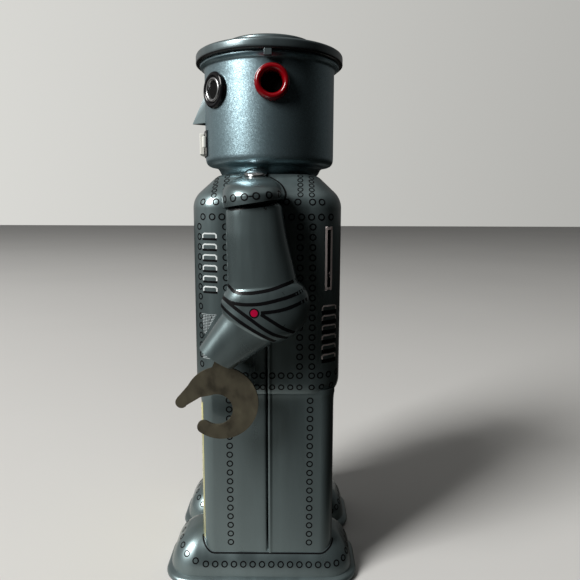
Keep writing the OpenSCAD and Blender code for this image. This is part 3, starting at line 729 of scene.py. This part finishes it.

# ---- Printing and painted shade lines ----------------------------------------------


class InkAndShadeMarks:
    """Printed marks and painted shade lines: thin closed plates that follow the surface under them."""

    # Height of a plate's top above the surface, and depth of its underside.
    lift = 0.045
    sink = 0.04

    def __init__(self, *shapes):
        verts, faces = joined(*shapes)
        self.surface = BVHTree.FromPolygons([Vector(v) for v in verts], faces)
        self.verts = []
        self.faces = []

    def seat(self, point, towards):
        """Where a ray meets the surface, with the normal that faces the ray."""
        towards = Vector(towards).normalized()
        hit, normal, _, _ = self.surface.ray_cast(Vector(point), towards, 200)
        if hit is None:
            hit, normal, _, _ = self.surface.find_nearest(Vector(point))
        return hit, (normal if normal.dot(towards) < 0 else -normal)

    def near(self, point, normal):
        """The surface point under a point close to it."""
        hit, _, _, _ = self.surface.ray_cast(point + normal * 1.5, -normal, 4)
        return point if hit is None else hit

    def strip(self, left, right, closed=False):
        """A plate between two lines of (point, normal) stations."""
        n = len(left)
        start = len(self.verts)
        for (p, pn), (q, qn) in zip(left, right):
            self.verts += [p + pn * self.lift, q + qn * self.lift, q - qn * self.sink, p - pn * self.sink]
        for k in range(n if closed else n - 1):
            a, b = start + 4 * k, start + 4 * ((k + 1) % n)
            self.faces += [(a + i, a + (i + 1) % 4, b + (i + 1) % 4, b + i) for i in range(4)]
        if not closed:
            end = start + 4 * (n - 1)
            self.faces += [(start + 3, start + 2, start + 1, start), (end, end + 1, end + 2, end + 3)]

    def tangents(self, normal):
        """Two directions along the surface, at right angles."""
        up = Vector((0, 0, 1)) if abs(normal.z) < 0.9 else Vector((0, 1, 0))
        u = up.cross(normal).normalized()
        return u, normal.cross(u)

    def ring(self, point, towards, radius=1.14, line=0.43, steps=22):
        """A printed rivet head: an open circle."""
        hit, normal = self.seat(point, towards)
        u, v = self.tangents(normal)
        turns = [2 * math.pi * k / steps for k in range(steps)]
        spokes = [u * math.cos(a) + v * math.sin(a) for a in turns]
        rims = [
            [(self.near(hit + spoke * r, normal), normal) for spoke in spokes]
            for r in (radius - line, radius)
        ]
        self.strip(*rims, closed=True)

    def dot(self, point, towards, radius, steps=12):
        """A filled circle."""
        hit, normal = self.seat(point, towards)
        u, v = self.tangents(normal)
        rows = [[], []]
        for k in range(steps + 1):
            a = math.pi * k / steps
            half = max(radius * math.sin(a), 0.01)
            for row, sign in zip(rows, (-1, 1)):
                row.append((self.near(hit - u * radius * math.cos(a) + v * half * sign, normal), normal))
        self.strip(*rows)

    def line(self, points, towards, width, closed=False, parts=6):
        """A line through points, curved smoothly; print, and the painted shade band under each cap."""
        path = smooth_path(points, parts, closed)
        self.follow([self.seat(p, towards) for p in path], width, closed)

    def straight(self, points, towards, width, step=0.8):
        """A printed line with sharp corners."""
        path = []
        for a, b in zip(points, points[1:]):
            a, b = Vector(a), Vector(b)
            n = max(1, math.ceil((b - a).length / step))
            path += [a.lerp(b, k / n) for k in range(n)]
        self.follow([self.seat(p, towards) for p in path + [Vector(points[-1])]], width)

    def follow(self, seats, width, closed=False):
        """A band of even width along a line of (point, normal) seats."""
        n = len(seats)
        left, right = [], []
        for k, (hit, normal) in enumerate(seats):
            before = seats[(k - 1) % n][0] if closed or k else hit
            after = seats[(k + 1) % n][0] if closed or k < n - 1 else hit
            side = normal.cross(after - before).normalized() * width / 2
            left.append((self.near(hit - side, normal), normal))
            right.append((self.near(hit + side, normal), normal))
        self.strip(left, right, closed)

    def row(self, first, last, towards, pitch, **ring):
        """Rings in a row between two points."""
        first, last = Vector(first), Vector(last)
        n = max(1, round((last - first).length / pitch))
        for k in range(n + 1):
            self.ring(first.lerp(last, k / n), towards, **ring)

    def panel(self, stations, towards):
        """A filled plate between pairs of points."""
        self.strip([self.seat(a, towards) for a, _ in stations], [self.seat(b, towards) for _, b in stations])

    def piece(self, name, material, body, slot):
        """The finished marks; they stand for no CAD node."""
        return make_piece(name, (self.verts, self.faces), material, body, (), slot, sharp=30, merge=0)


# How far from the robot's middle the rays for the prints start.
FAR = 70
# Levels of the printed rivet rows that run all round the torso, near its top and its floor.
TOP_ROW_Z = 125.9
LOW_ROW_Z = 74.3
# Half sizes, corner and spacing of the ring of printed rivets on the shoe.
SHOE_ROW_HX = 13.15
SHOE_ROW_HY = 26.3
SHOE_ROW_R = 5.5
SHOE_ROW_PITCH = 3.25


def side_view(side):
    """Turns (y, z) into a point beside the robot, and gives the way to its surface."""
    return (lambda y, z: (side * FAR, y, z)), (-side, 0, 0)


def end_view(end):
    """The same from (x, z) for the front (-1) or the back (1)."""
    return (lambda x, z: (x, end * FAR, z)), (0, -end, 0)


def print_louvre(light, black, at, towards, y, z, slot=0.72):
    """One printed louvre: a pale staple over a black slot."""
    w, h = 2.25, 0.72
    half_staple = [(w, -h), (w, h * 0.45), (w - 0.5, h)]
    staple = [(-dy, dz) for dy, dz in half_staple] + half_staple[::-1]
    light.straight([at(y + dy, z + dz) for dy, dz in staple], towards, 0.46, 0.6)
    slot_z = z - h - slot / 2
    black.straight([at(y - w - 0.15, slot_z), at(y + w + 0.15, slot_z)], towards, slot)


def rounded_loop(u0, u1, v0, v1, r, steps=5):
    """Corner points of an upright rounded rectangle in (u, v)."""
    mid_u, mid_v = (u0 + u1) / 2, (v0 + v1) / 2
    return [(mid_u + u, mid_v + v) for u, v in rounded_rect(u1 - mid_u, v1 - mid_v, r, steps)]


def print_side_rivets(side, black):
    """The rows of printed rivets on one side of the body, placed by (y, z)."""
    at, towards = side_view(side)
    for y in (-21.6, -12.8, 10.8, 14.8):
        black.row(at(y, 122.8), at(y, 77.4), towards, 3.15)
    black.row(at(-20.2, TOP_ROW_Z), at(20.6, TOP_ROW_Z), towards, 3.05)
    for y0, y1 in ((-19.0, -4.0), (-1.2, 10.8), (14.8, 23.2)):
        black.row(at(y0, LOW_ROW_Z), at(y1, LOW_ROW_Z), towards, 3.05)
    for y0, y1 in ((-19.0, -3.2), (-1.2, 10.8), (14.8, 21.4)):
        black.row(at(y0, 70.3), at(y1, 70.3), towards, 3.0, radius=1.05)
    for y0, y1 in ((-20.2, -15.8), (6.4, 10.0), (14.6, 17.6)):
        black.row(at(y0, 130.6), at(y1, 130.6), towards, 3.3)
    for y in (-16.6, -12.9, 10.8, 14.4):
        for k in range(6):
            above_slope = (side * (58.2 - 1.85 * k), y, 159.9 + 1.25 * k)
            black.ring(above_slope, (-side, 0, -0.9), radius=0.98, line=0.37)
    for y in (-12.6, 14.4):
        black.row(at(y, 65.3), at(y, 14.3), towards, 3.19)


def print_side_openings(side, black, white, pink):
    """Two banks of louvres, and a long slot with a scratched edge."""
    at, towards = side_view(side)
    for k in range(6):
        print_louvre(white, black, at, towards, -18.1, 119.9 - 3.42 * k)
        print_louvre(pink, black, at, towards, 20.4, 96.6 - 3.25 * k, 1.3)
    black.panel([(at(19.5 + 0.35 * k, 103.5), at(19.5 + 0.35 * k, 121.9)) for k in range(4)], towards)
    slot = rounded_loop(19.2, 20.9, 102.9, 122.4, 0.84)
    pink.line([at(*p) for p in slot], towards, 0.75, closed=True, parts=3)
    pink.straight([at(19.3, 107.4), at(20.4, 108.3), at(20.0, 107.2), at(20.9, 106.4)], towards, 0.35)


def print_mesh_patch(side, black, grey):
    """A printed fine grille that tapers downwards, and a short strip of the same."""
    at, towards = side_view(side)
    for k in range(15):
        z = 94.4 - 0.52 * k
        left = -21.3 + 0.055 * k
        right = -16.2 - 0.3 * k
        if right - left > 0.5:
            grey.straight([at(left, z), at(right, z)], towards, 0.24)
    for k in range(4):
        z = 81.2 - 0.5 * k
        grey.straight([at(-21.2, z), at(-17.0, z)], towards, 0.2)
    for k in range(9):
        y = -21.0 + 0.56 * k
        end_y = min(y, -18.9 + 0.25 * (k - 4))
        end_z = 94.5 - max(0.6, 7.4 - 0.95 * abs(k - 1))
        black.straight([at(y, 94.5), at(end_y, end_z)], towards, 0.16)


def print_grille(black, grey, at, towards, half, top, pitch, count):
    """Level slots, each with a lit lower edge."""
    for k in range(count):
        z = top - pitch * k
        black.straight([at(-half, z), at(half, z)], towards, 0.7)
        grey.straight([at(-half, z - 0.8), at(half, z - 0.8)], towards, 0.4)


def print_dial(black, white, red, at, towards):
    """A plain dial with nine ticks and a red hand."""
    z = 109.5
    white.dot(at(0, z), towards, 8.2, 24)
    black.ring(at(0, z), towards, radius=9.0, line=0.8, steps=48)
    for k in range(9):
        a = math.radians(-30 + 30 * k)
        c, s = math.cos(a), math.sin(a)
        black.straight([at(6.2 * c, z + 6.2 * s), at(7.5 * c, z + 7.5 * s)], towards, 0.35)
    red.straight([at(-1.2, 108.3), at(4.2, 113.7)], towards, 0.5)


def print_front(black, white, grey, red, yellow):
    """Chest panel: a frame, a plain dial, two lamps and a grille."""
    at, towards = end_view(-1)
    for z in (TOP_ROW_Z, LOW_ROW_Z):
        black.row(at(-17.5, z), at(17.5, z), towards, 3.2)
    for x in (-17.5, 17.5):
        black.row(at(x, 122.7), at(x, 77.5), towards, 3.2)
    frame_line = rounded_loop(-14, 14, 77, 122.5, 3)
    black.line([at(*p) for p in frame_line], towards, 0.5, closed=True, parts=3)
    print_dial(black, white, red, at, towards)
    for x, lamp in ((-6, red), (6, yellow)):
        lamp.dot(at(x, 94.5), towards, 2.1)
        black.ring(at(x, 94.5), towards, radius=2.7, line=0.6, steps=28)
    print_grille(black, grey, at, towards, 9, 87.5, 2.4, 4)


def print_back(black, grey):
    """A plain hatch with a grille."""
    at, towards = end_view(1)
    for z in (TOP_ROW_Z, LOW_ROW_Z):
        black.row(at(-17.5, z), at(17.5, z), towards, 3.2)
    hatch = rounded_loop(-12, 12, 80, 120, 3)
    black.line([at(*p) for p in hatch], towards, 0.5, closed=True, parts=3)
    for x in (-9.5, 9.5):
        for z in (82.8, 117.2):
            black.ring(at(x, z), towards)
    print_grille(black, grey, at, towards, 7, 110, 2.6, 7)


def print_legs(yellow, black):
    """Yellow panels on the fronts of the legs."""
    at, towards = end_view(-1)
    for side in SIDES.values():
        columns = [side * LEG_X - 9.5 + 19 * k / 14 for k in range(15)]
        yellow.panel([(at(x, 14.5), at(x, 64)) for x in columns], towards)
        for x in (side * LEG_X - 6.2, side * LEG_X + 6.2):
            black.row(at(x, 61), at(x, 20), towards, 3.2)


def paint_cap_edge_shade(black):
    """Painted shade: a black line round each cap where it lies on the shoulder, standing in for the shadow
    between cap and torso.
    """
    for side in SIDES.values():
        for turn in (-1, 1):
            seats = []
            for ring in smooth_path(CAP_RINGS[:-1], 6):
                points = [Vector((side * p[0], p[1], p[2])) for p in cap_ring(ring, 60)]
                for p in points if turn < 0 else reversed(points):
                    hit, normal = black.seat((side * FAR, p.y, p.z), (-side, 0, 0))
                    if abs(p.x) > abs(hit.x) and abs(hit.x) > 15:
                        seats.append((hit, normal))
                        break
            black.follow(seats, 1.0)


def print_and_shade_body():
    """All the marks on the body, one piece for each ink; the black piece also holds the painted shade lines
    round the caps.
    """
    skins = (FRONT_SKIN, BACK_SKIN)
    black, white, grey, pink, red, yellow = (InkAndShadeMarks(*skins) for _ in range(6))
    for side in SIDES.values():
        print_side_rivets(side, black)
        print_side_openings(side, black, white, pink)
        print_mesh_patch(side, black, grey)
    print_front(black, white, grey, red, yellow)
    print_back(black, grey)
    print_legs(yellow, black)
    paint_cap_edge_shade(black)
    black.piece("body_print_and_shade_black", BLACK_INK_AND_SHADE, "root", "black_paint")
    white.piece("body_print_white", WHITE_INK, "root", "white_paint")
    grey.piece("body_print_grey", GREY_INK, "root", "printed_tin")
    pink.piece("body_print_pink", PINK_INK, "root", "printed_tin")
    red.piece("body_print_red", RED_INK, "root", "red_paint")
    yellow.piece("body_print_yellow", YELLOW_INK, "root", "printed_tin")


def make_body():
    for name, skin in (("front_shell", FRONT_SKIN), ("back_shell", BACK_SKIN)):
        tin_piece(name + "_skin", skin, name, sharp=40)
    print_and_shade_body()


# ---- Feet, caps and arms -----------------------------------------------------------


def spaced(loop, pitch):
    """Points at an even distance, close to pitch, along a closed loop."""
    edges = list(zip(loop, loop[1:] + loop[:1]))
    total = sum((b - a).length for a, b in edges)
    count = round(total / pitch)
    points, walked = [], 0.0
    for a, b in edges:
        length = (b - a).length
        while len(points) < count and walked + length >= len(points) * total / count:
            t = (len(points) * total / count - walked) / length if length else 0
            points.append(a.lerp(b, t))
        walked += length
    return points


def print_and_shade_foot(name, side, skin):
    """Printed rivets round the shoe, and a black line of painted shade where the leg goes in."""
    marks = InkAndShadeMarks(skin)
    loop = rounded_rect(SHOE_ROW_HX, SHOE_ROW_HY, SHOE_ROW_R, 8)
    for p in spaced([Vector((LEG_X + x, y, 0)) for x, y in loop], SHOE_ROW_PITCH):
        away = Vector((p.x - LEG_X, (p.y - FOOT_Y) * 0.45, 0)).normalized()
        outside = p + away * 25
        start = Vector((side * outside.x, outside.y, 32))
        marks.ring(start, Vector((side * p.x, p.y, 7.2)) - start)
    # Painted shade: a black line round the foot of the leg, where it meets the shoe.
    outline = rounded_rect(LEG_HX + 0.3, LEG_HY + 0.3, LEG_R, 8)
    seats = [marks.seat((side * (LEG_X + x), y, 40), (0, 0, -1)) for x, y in outline]
    marks.follow(seats, 0.55, closed=True)
    marks.piece(name + "_foot_print_and_shade", BLACK_INK_AND_SHADE, "root", "black_paint")


def make_feet():
    for name, side in SIDES.items():
        skin = FOOT_SKIN if side > 0 else mirror_x(FOOT_SKIN)
        tin_piece(name + "_foot_skin", skin, name + "_foot_shell")
        print_and_shade_foot(name, side, skin)


def make_caps():
    for name, side in SIDES.items():
        skin = CAP_SKIN if side > 0 else mirror_x(CAP_SKIN)
        tin_piece(name + "_cap_skin", skin, name + "_shoulder_cap")
        marks = InkAndShadeMarks(skin)
        at, towards = side_view(side)
        for y, z in ((-11.6, 131.2), (-8.9, 131.5), (-5.5, 131.8), (-2.1, 132.1), (1.6, 132.4), (4.6, 132.7)):
            marks.ring(at(y, z), towards, line=0.42)
        marks.straight([at(-4.3, 131.9), at(-3.3, 132)], towards, 0.35)
        marks.piece(name + "_cap_print", BLACK_INK_AND_SHADE, "root", "black_paint")


# The arm's bands as (y, z) points: the first, under the cap, is painted shade for the shadow gap there; the
# rest, round the elbow, are printed.
ARM_PRINT_AND_SHADE_BANDS = [
    [(-11.6, 128.0), (-9.0, 128.35), (-4.0, 128.95), (1.0, 129.65), (4.9, 130.1)],
    [(-11.6, 106.0), (-10.3, 105.1), (-8.4, 103.9), (-4.1, 103.8), (1.3, 104.7), (5.5, 106.0), (10.0, 107.6)],
    [
        (-13.0, 102.0), (-12.0, 101.7), (-9.8, 100.8), (-5.9, 100.4), (-0.9, 100.7), (4.8, 102.0),
        (9.1, 103.3), (12.4, 104.7),
    ],
    [(-0.9, 98.0), (4.1, 98.6), (8.4, 99.8), (13.4, 101.8)],
    [(-12.9, 101.9), (-11.6, 101.3), (-8.1, 98.9), (-4.2, 96.2), (-0.3, 93.3), (3.3, 91.1), (7.1, 89.7)],
    [(-0.9, 97.6), (2.6, 95.3), (6.2, 92.9), (10.2, 90.9)],
    [(-13.4, 99.6), (-12.0, 98.6), (-9.6, 96.9), (-5.3, 94.0), (-1.0, 91.3), (1.5, 89.8), (3.3, 88.8)],
]


def print_and_shade_arm(name, side, skins):
    """Black bands on both faces of the arm (painted shade under the cap, print round the elbow), and a red
    dot on its outer face.
    """
    black, red = InkAndShadeMarks(*skins), InkAndShadeMarks(*skins)
    for view in (1, -1):
        for band in ARM_PRINT_AND_SHADE_BANDS:
            points = [(side * (ARM_X + view * 25), y, z) for y, z in band]
            black.line(points, (-side * view, 0, 0), 1.05, parts=5)
    dot = (side * FAR, -2.9, 97.9)
    red.dot(dot, (-side, 0, 0), 1.1, 16)
    black.ring(dot, (-side, 0, 0), radius=1.52, line=0.46, steps=28)
    black.piece(name + "_arm_print_and_shade", BLACK_INK_AND_SHADE, name + "_arm", "black_paint")
    red.piece(name + "_arm_dot", RED_INK, name + "_arm", "red_paint")


def make_arms():
    for name, side in SIDES.items():
        outer, inner = (ARM_OUTER, ARM_INNER) if side > 0 else (mirror_x(ARM_OUTER), mirror_x(ARM_INNER))
        for part, skin in (("outer", outer), ("inner", inner)):
            node = f"{name}_arm_{part}"
            tin_piece(node + "_skin", skin, node, name + "_arm")
        print_and_shade_arm(name, side, (outer, inner))
        softened(name + "_claw_plate", name + "_claw", CLAW, name + "_arm", "claw_metal", 0.09)


# ---- Head --------------------------------------------------------------------------

# Outlines as (radius, height), anticlockwise. The drum and lid stand on the ground's height;
# the heights of the others are measured out from the drum's wall.
DRUM_OUTLINE = [
    (4, 139.8), (15.2, 139.8), (16.0, 139.85), (16.8, 140.15), (17.3, 140.5), (17.65, 141.0),
    (17.9, 141.6), (18.25, 142.2), (18.7, 142.6), (19.3, 142.85), (20.2, 143.0), (21.0, 143.15),
    (21.7, 143.45), (22.25, 143.95), (22.6, 144.6), (22.76, 145.3), (22.8, 146.2), (22.8, 152),
    (22.8, 164), (22.8, 175.3), (22.95, 175.9), (23.3, 176.3), (23.9, 176.6), (24.3, 176.75),
    (24.4, 177.1), (24.3, 177.5), (23.7, 177.55), (23.2, 177.2), (22.5, 176.6), (22.35, 175.6),
    (22.35, 146.2), (22.1, 144.8), (21.3, 143.9), (19, 143.3), (17.9, 142.5), (17.3, 141.4),
    (16.3, 140.6), (15.2, 140.3), (4, 140.3),
]
LID_OUTLINE = [
    (0.05, 185), (0.05, 184.5), (14.4, 184.5), (14.8, 184.35), (15.1, 183.9), (15.4, 183.2),
    (16, 182.6), (17.5, 182.2), (22.3, 181.15), (24.2, 180.65), (24.75, 180.3), (24.95, 179.8),
    (24.9, 178.8), (24.5, 178.3), (23.7, 178.15), (23.7, 177.65), (24.4, 177.6), (25.1, 177.7),
    (25.5, 178.0), (25.68, 178.4), (25.7, 179), (25.7, 180.1), (25.62, 180.55), (25.4, 180.9),
    (25.05, 181.12), (24.6, 181.25), (22.5, 181.72), (18.2, 182.6), (17, 182.9), (16.45, 183.1),
    (16.1, 183.4), (15.9, 183.75), (15.75, 184.3), (15.6, 184.65), (15.3, 184.88), (14.9, 184.98),
    (13, 185), (8, 185),
]
# Painted shade: a black ring along the lid's lower edge, standing in for the shadow line under the brim.
LID_SHADE_RING_OUTLINE = [
    (24.6, 177.6), (25.45, 177.68), (25.7, 177.95), (25.74, 178.3), (25.6, 178.34), (25.2, 178.05),
    (24.6, 178),
]
GROMMET_OUTLINE = [
    (3.15, -1.1), (5.9, -1.1), (5.9, 0.3), (5.85, 0.6), (5.7, 0.9), (5.4, 1.15), (5.05, 1.28),
    (4.7, 1.25), (4.4, 1.1), (4.15, 0.85), (3.95, 0.62), (3.6, 0.33), (3.15, 0.1),
]
EYELET_OUTLINE = [
    (2.6, -2.2), (3.1, -2.2), (3.1, 0.12), (3.55, 0.38), (3.88, 0.68), (3.97, 0.9), (3.95, 1.08),
    (3.82, 1.24), (3.6, 1.33), (3.36, 1.33), (3.14, 1.22), (2.98, 1.02), (2.88, 0.75), (2.8, 0.4),
    (2.6, -0.2),
]
# Black discs of painted shade inside the eye and the ear.
EYE_SHADE_DISC_OUTLINE = [(0.02, 0.0), (2.68, 0.0), (2.8, 0.38), (2.3, 0.42), (0.02, 0.42)]
EAR_OUTLINE = [
    (3.45, -2.5), (4.2, -2.5), (4.2, -0.9), (5.5, -0.9), (5.66, -0.2), (5.68, 0.6), (5.6, 1.15),
    (5.38, 1.6), (5.05, 1.92), (4.65, 2.08), (4.25, 2.03), (3.92, 1.8), (3.68, 1.45), (3.52, 1.0),
    (3.45, 0.3),
]
EAR_SHADE_DISC_OUTLINE = [(0.02, -2.45), (3.44, -2.45), (3.44, -2.2), (2.8, -2.12), (0.02, -2.1)]
RIVET_OUTLINE = [
    (0.02, -2.2), (2.4, -2.2), (2.4, -1.5), (1.4, -1.5), (1.4, 0.55), (3.5, 0.55), (3.66, 0.65),
    (3.68, 0.85), (3.55, 1.08), (3.2, 1.38), (2.7, 1.65), (1.95, 1.92), (1.1, 2.08), (0.02, 2.13),
]


def head_axis(node):
    """Point on the drum and outward direction of an eye or ear."""
    low, high = box_mm(node)
    middle = (low + high) / 2
    out = Vector((middle.x, middle.y, 0)).normalized()
    return out * HEAD_R + Vector((0, 0, middle.z)), out


def cutter(origin, along, radius, depth):
    """A round plug that bores a hole."""
    plug = lathe([(0.02, -depth), (radius, -depth), (radius, depth), (0.02, depth)], 48)
    return bare_object("cutter", aimed(plug, origin, along))


def on_drum(name, node, outline, material, slot):
    """A turned piece seated on the drum's wall in place of a CAD node."""
    turned = aimed(lathe(outline, 72), *head_axis(node))
    make_piece(name, turned, material, "root", [node], slot, sharp=40)


def painted_shade_disc(name, node, outline):
    """Painted shade: a black disc that closes an eye or ear a little way in, standing in for the shade inside
    the drum.
    """
    disc = aimed(lathe(outline, 48), *head_axis(node))
    make_piece(name, disc, SHADE_BLACK, "root", (), "black_paint")


def head_holes():
    """Plugs for the holes behind the eyes and ears."""
    holes = []
    for name in SIDES:
        for node, radius in ((name + "_eye_grommet", 3.12), (name + "_ear_ring", 4.22)):
            holes.append(cutter(*head_axis(node), radius, 4))
    return holes


def make_head():
    drum = lathe(DRUM_OUTLINE, 144)
    make_piece(
        "head_drum_skin", drum, FLAKE, "root", ["head_drum"], "head_paint", sharp=50, cutters=head_holes()
    )
    make_piece("head_lid_skin", lathe(LID_OUTLINE, 128), LID_TIN, "root", ["head_lid"], "lid_paint", sharp=50)
    # Painted shade under the brim's edge.
    make_piece("head_lid_shade_ring", lathe(LID_SHADE_RING_OUTLINE, 128), BLACK, "root", (), "lid_paint", sharp=50)
    for name in SIDES:
        on_drum(name + "_eye_rubber", name + "_eye_grommet", GROMMET_OUTLINE, RUBBER, "black_rubber")
        on_drum(name + "_eye_funnel", name + "_eye_eyelet", EYELET_OUTLINE, EYELET, "bright_rivet")
        on_drum(name + "_ear_turned", name + "_ear_ring", EAR_OUTLINE, RED, "red_paint")
        painted_shade_disc(name + "_eye_shade_disc", name + "_eye_eyelet", EYE_SHADE_DISC_OUTLINE)
        painted_shade_disc(name + "_ear_shade_disc", name + "_ear_ring", EAR_SHADE_DISC_OUTLINE)
    # The nose in its darkened paint: painted shade.
    softened("nose_fold", "nose", NOSE_DARKENED, "root", "head_paint", 0.12)
    softened("mouth_back", "mouth_plate", BLACK, "root", "black_paint", 0.1)
    softened("teeth_blocks", "teeth", WHITE, "root", "white_paint", 0.22)
    softened("lid_clip_tabs", "lid_clips", LID_TIN, "root", "plain_steel", 0.08)


def make_rivets():
    """Domed rivets that hold the shoulder caps."""
    for name, side in SIDES.items():
        out = Vector((side * math.sin(RIVET_TILT), 0, math.cos(RIVET_TILT)))
        origin = Vector((side * RIVET_X, CAP_Y, RIVET_Z))
        rivet = aimed(lathe(RIVET_OUTLINE, 64), origin, out)
        make_piece(
            name + "_cap_rivet_turned", rivet, BRIGHT, "root", [name + "_cap_rivet"], "bright_rivet", sharp=50
        )


def dress_cad_nodes():
    """CAD nodes whose shape is final take the finished materials."""
    looks = {
        "plain_steel": STEEL, "bright_rivet": BRIGHT, "wheel_brass": BRASS, "spring_steel": BLUED,
        "printed_tin": TIN, "head_paint": FLAKE, "lid_paint": LID_TIN, "black_rubber": RUBBER,
        "red_paint": RED, "black_paint": BLACK, "white_paint": WHITE, "claw_metal": CLAW,
    }
    for part in frame["record"]["subparts"]:
        mesh = frame["nodes"][part["node"]].data
        mesh.materials.clear()
        mesh.materials.append(looks[part["material_slot"]])


# ---- Stage -------------------------------------------------------------------------


def make_floor():
    """Pale floor; the light it throws back comes only from a pool near the feet."""
    mesh = bpy.data.meshes.new("floor")
    mesh.from_pydata([(-4, -4, 0), (4, -4, 0), (4, 4, 0), (-4, 4, 0)], [], [(0, 1, 2, 3)])
    floor = new_object("floor", mesh)
    paint = (0.62, 0.615, 0.60)
    mat, shader = new_material("floor_paint", paint, Roughness=0.4)
    mottled(mat, shader, paint, 3, 0.02)
    dim = add_node(mat, "ShaderNodeBsdfDiffuse")
    away = vector_node(mat, "DOT_PRODUCT", place_coords(mat), second=(1, 2.2, 0))
    reach = vector_node(mat, "LENGTH", place_coords(mat))
    fall = add_node(mat, "ShaderNodeMath", operation="MAXIMUM")
    wire(mat, spread(mat, away.outputs["Value"], 0.0, 1.0, 0.02, 0.2), fall.inputs[0])
    wire(mat, spread(mat, reach.outputs["Value"], 0.0, 1.0, 0.1, 0.38), fall.inputs[1])
    stops = [(0, (0.5, 0.49, 0.47)), (0.5, (0.16, 0.157, 0.15)), (1, (0.012, 0.012, 0.011))]
    wire(mat, ramp(mat, fall.outputs[0], stops), dim.inputs["Color"])
    seen_only_by_camera(mat, shader.outputs["BSDF"], dim.outputs["BSDF"], "Material Output")
    mesh.materials.append(mat)


def make_window():
    """Soft light from a window in front of the robot, to the camera's left."""
    middle = Vector((0, 0, 0.1))
    way = Vector((0.48, -0.66, 0.58))
    data = bpy.data.lights.new("window", "AREA")
    data.shape = "RECTANGLE"
    data.size = 0.8
    data.size_y = 1.2
    data.energy = 80
    data.color = (1.0, 0.99, 0.97)
    lamp = new_object("window", data)
    lamp.location = middle + way * 2.2
    lamp.rotation_euler = (-way).to_track_quat("-Z", "Y").to_euler()


def world_glow(world, direction, start, stop, low, high):
    """Brightness that rises from low to high along a direction of the sky."""
    coords = add_node(world, "ShaderNodeTexCoord")
    along = vector_node(world, "DOT_PRODUCT", coords.outputs["Generated"], second=direction)
    return spread(world, along.outputs["Value"], low, high, start, stop)


def make_room():
    """A dim room with a few weak glows; the camera sees a pale wall instead, with painted light: brighter
    towards -Y, the window's side, and dimmer towards +Y.
    """
    world = bpy.data.worlds.new("studio")
    bpy.context.scene.world = world
    world.use_nodes = True
    glow = world.node_tree.nodes["Background"]
    glow.inputs["Color"].default_value = (1, 0.99, 0.96, 1)
    total = world_glow(world, (-0.45, -0.89, 0), 0.3, 0.95, 0.003, 0.34)
    for extra in (((0, 0, 1), 0.75, 0.95, 0, 0.3), ((-0.8, 0.6, 0), 0.35, 1, 0, 0.1)):
        added = add_node(world, "ShaderNodeMath")
        wire(world, total, added.inputs[0])
        wire(world, world_glow(world, *extra), added.inputs[1])
        total = added.outputs[0]
    wire(world, total, glow.inputs["Strength"])
    wall = add_node(world, "ShaderNodeBackground", {"Color": (1, 0.995, 0.95, 1)})
    # Painted light on the wall: brighter towards -Y, dimmer towards +Y.
    wire(world, world_glow(world, (0, 1, 0), -0.5, 0.5, 0.70, 0.44), wall.inputs["Strength"])
    seen_only_by_camera(world, wall.outputs["Background"], glow.outputs["Background"], "World Output")


def make_camera():
    """Looks across the robot's left side, a little down; lengths here are in metres."""
    data = bpy.data.cameras.new("camera")
    data.lens = 34.93
    data.sensor_width = 36
    data.clip_start = 0.01
    camera = new_object("camera", data)
    camera.location = (0.2081, 0.0085, 0.1286)
    pitch, yaw, roll = 0.144, -0.005, -0.003
    ahead = Vector((-math.cos(pitch) * math.cos(yaw), math.cos(pitch) * math.sin(yaw), -math.sin(pitch)))
    turn = ahead.to_track_quat("-Z", "Y").to_matrix()
    camera.rotation_euler = turn.to_euler()
    camera.rotation_euler.rotate_axis("Z", -roll)
    bpy.context.scene.camera = camera
    bpy.context.scene.view_settings.view_transform = "Standard"


make_camera()
make_floor()
make_window()
make_room()
dress_cad_nodes()
make_body()
make_feet()
make_caps()
make_arms()
make_head()
make_rivets()
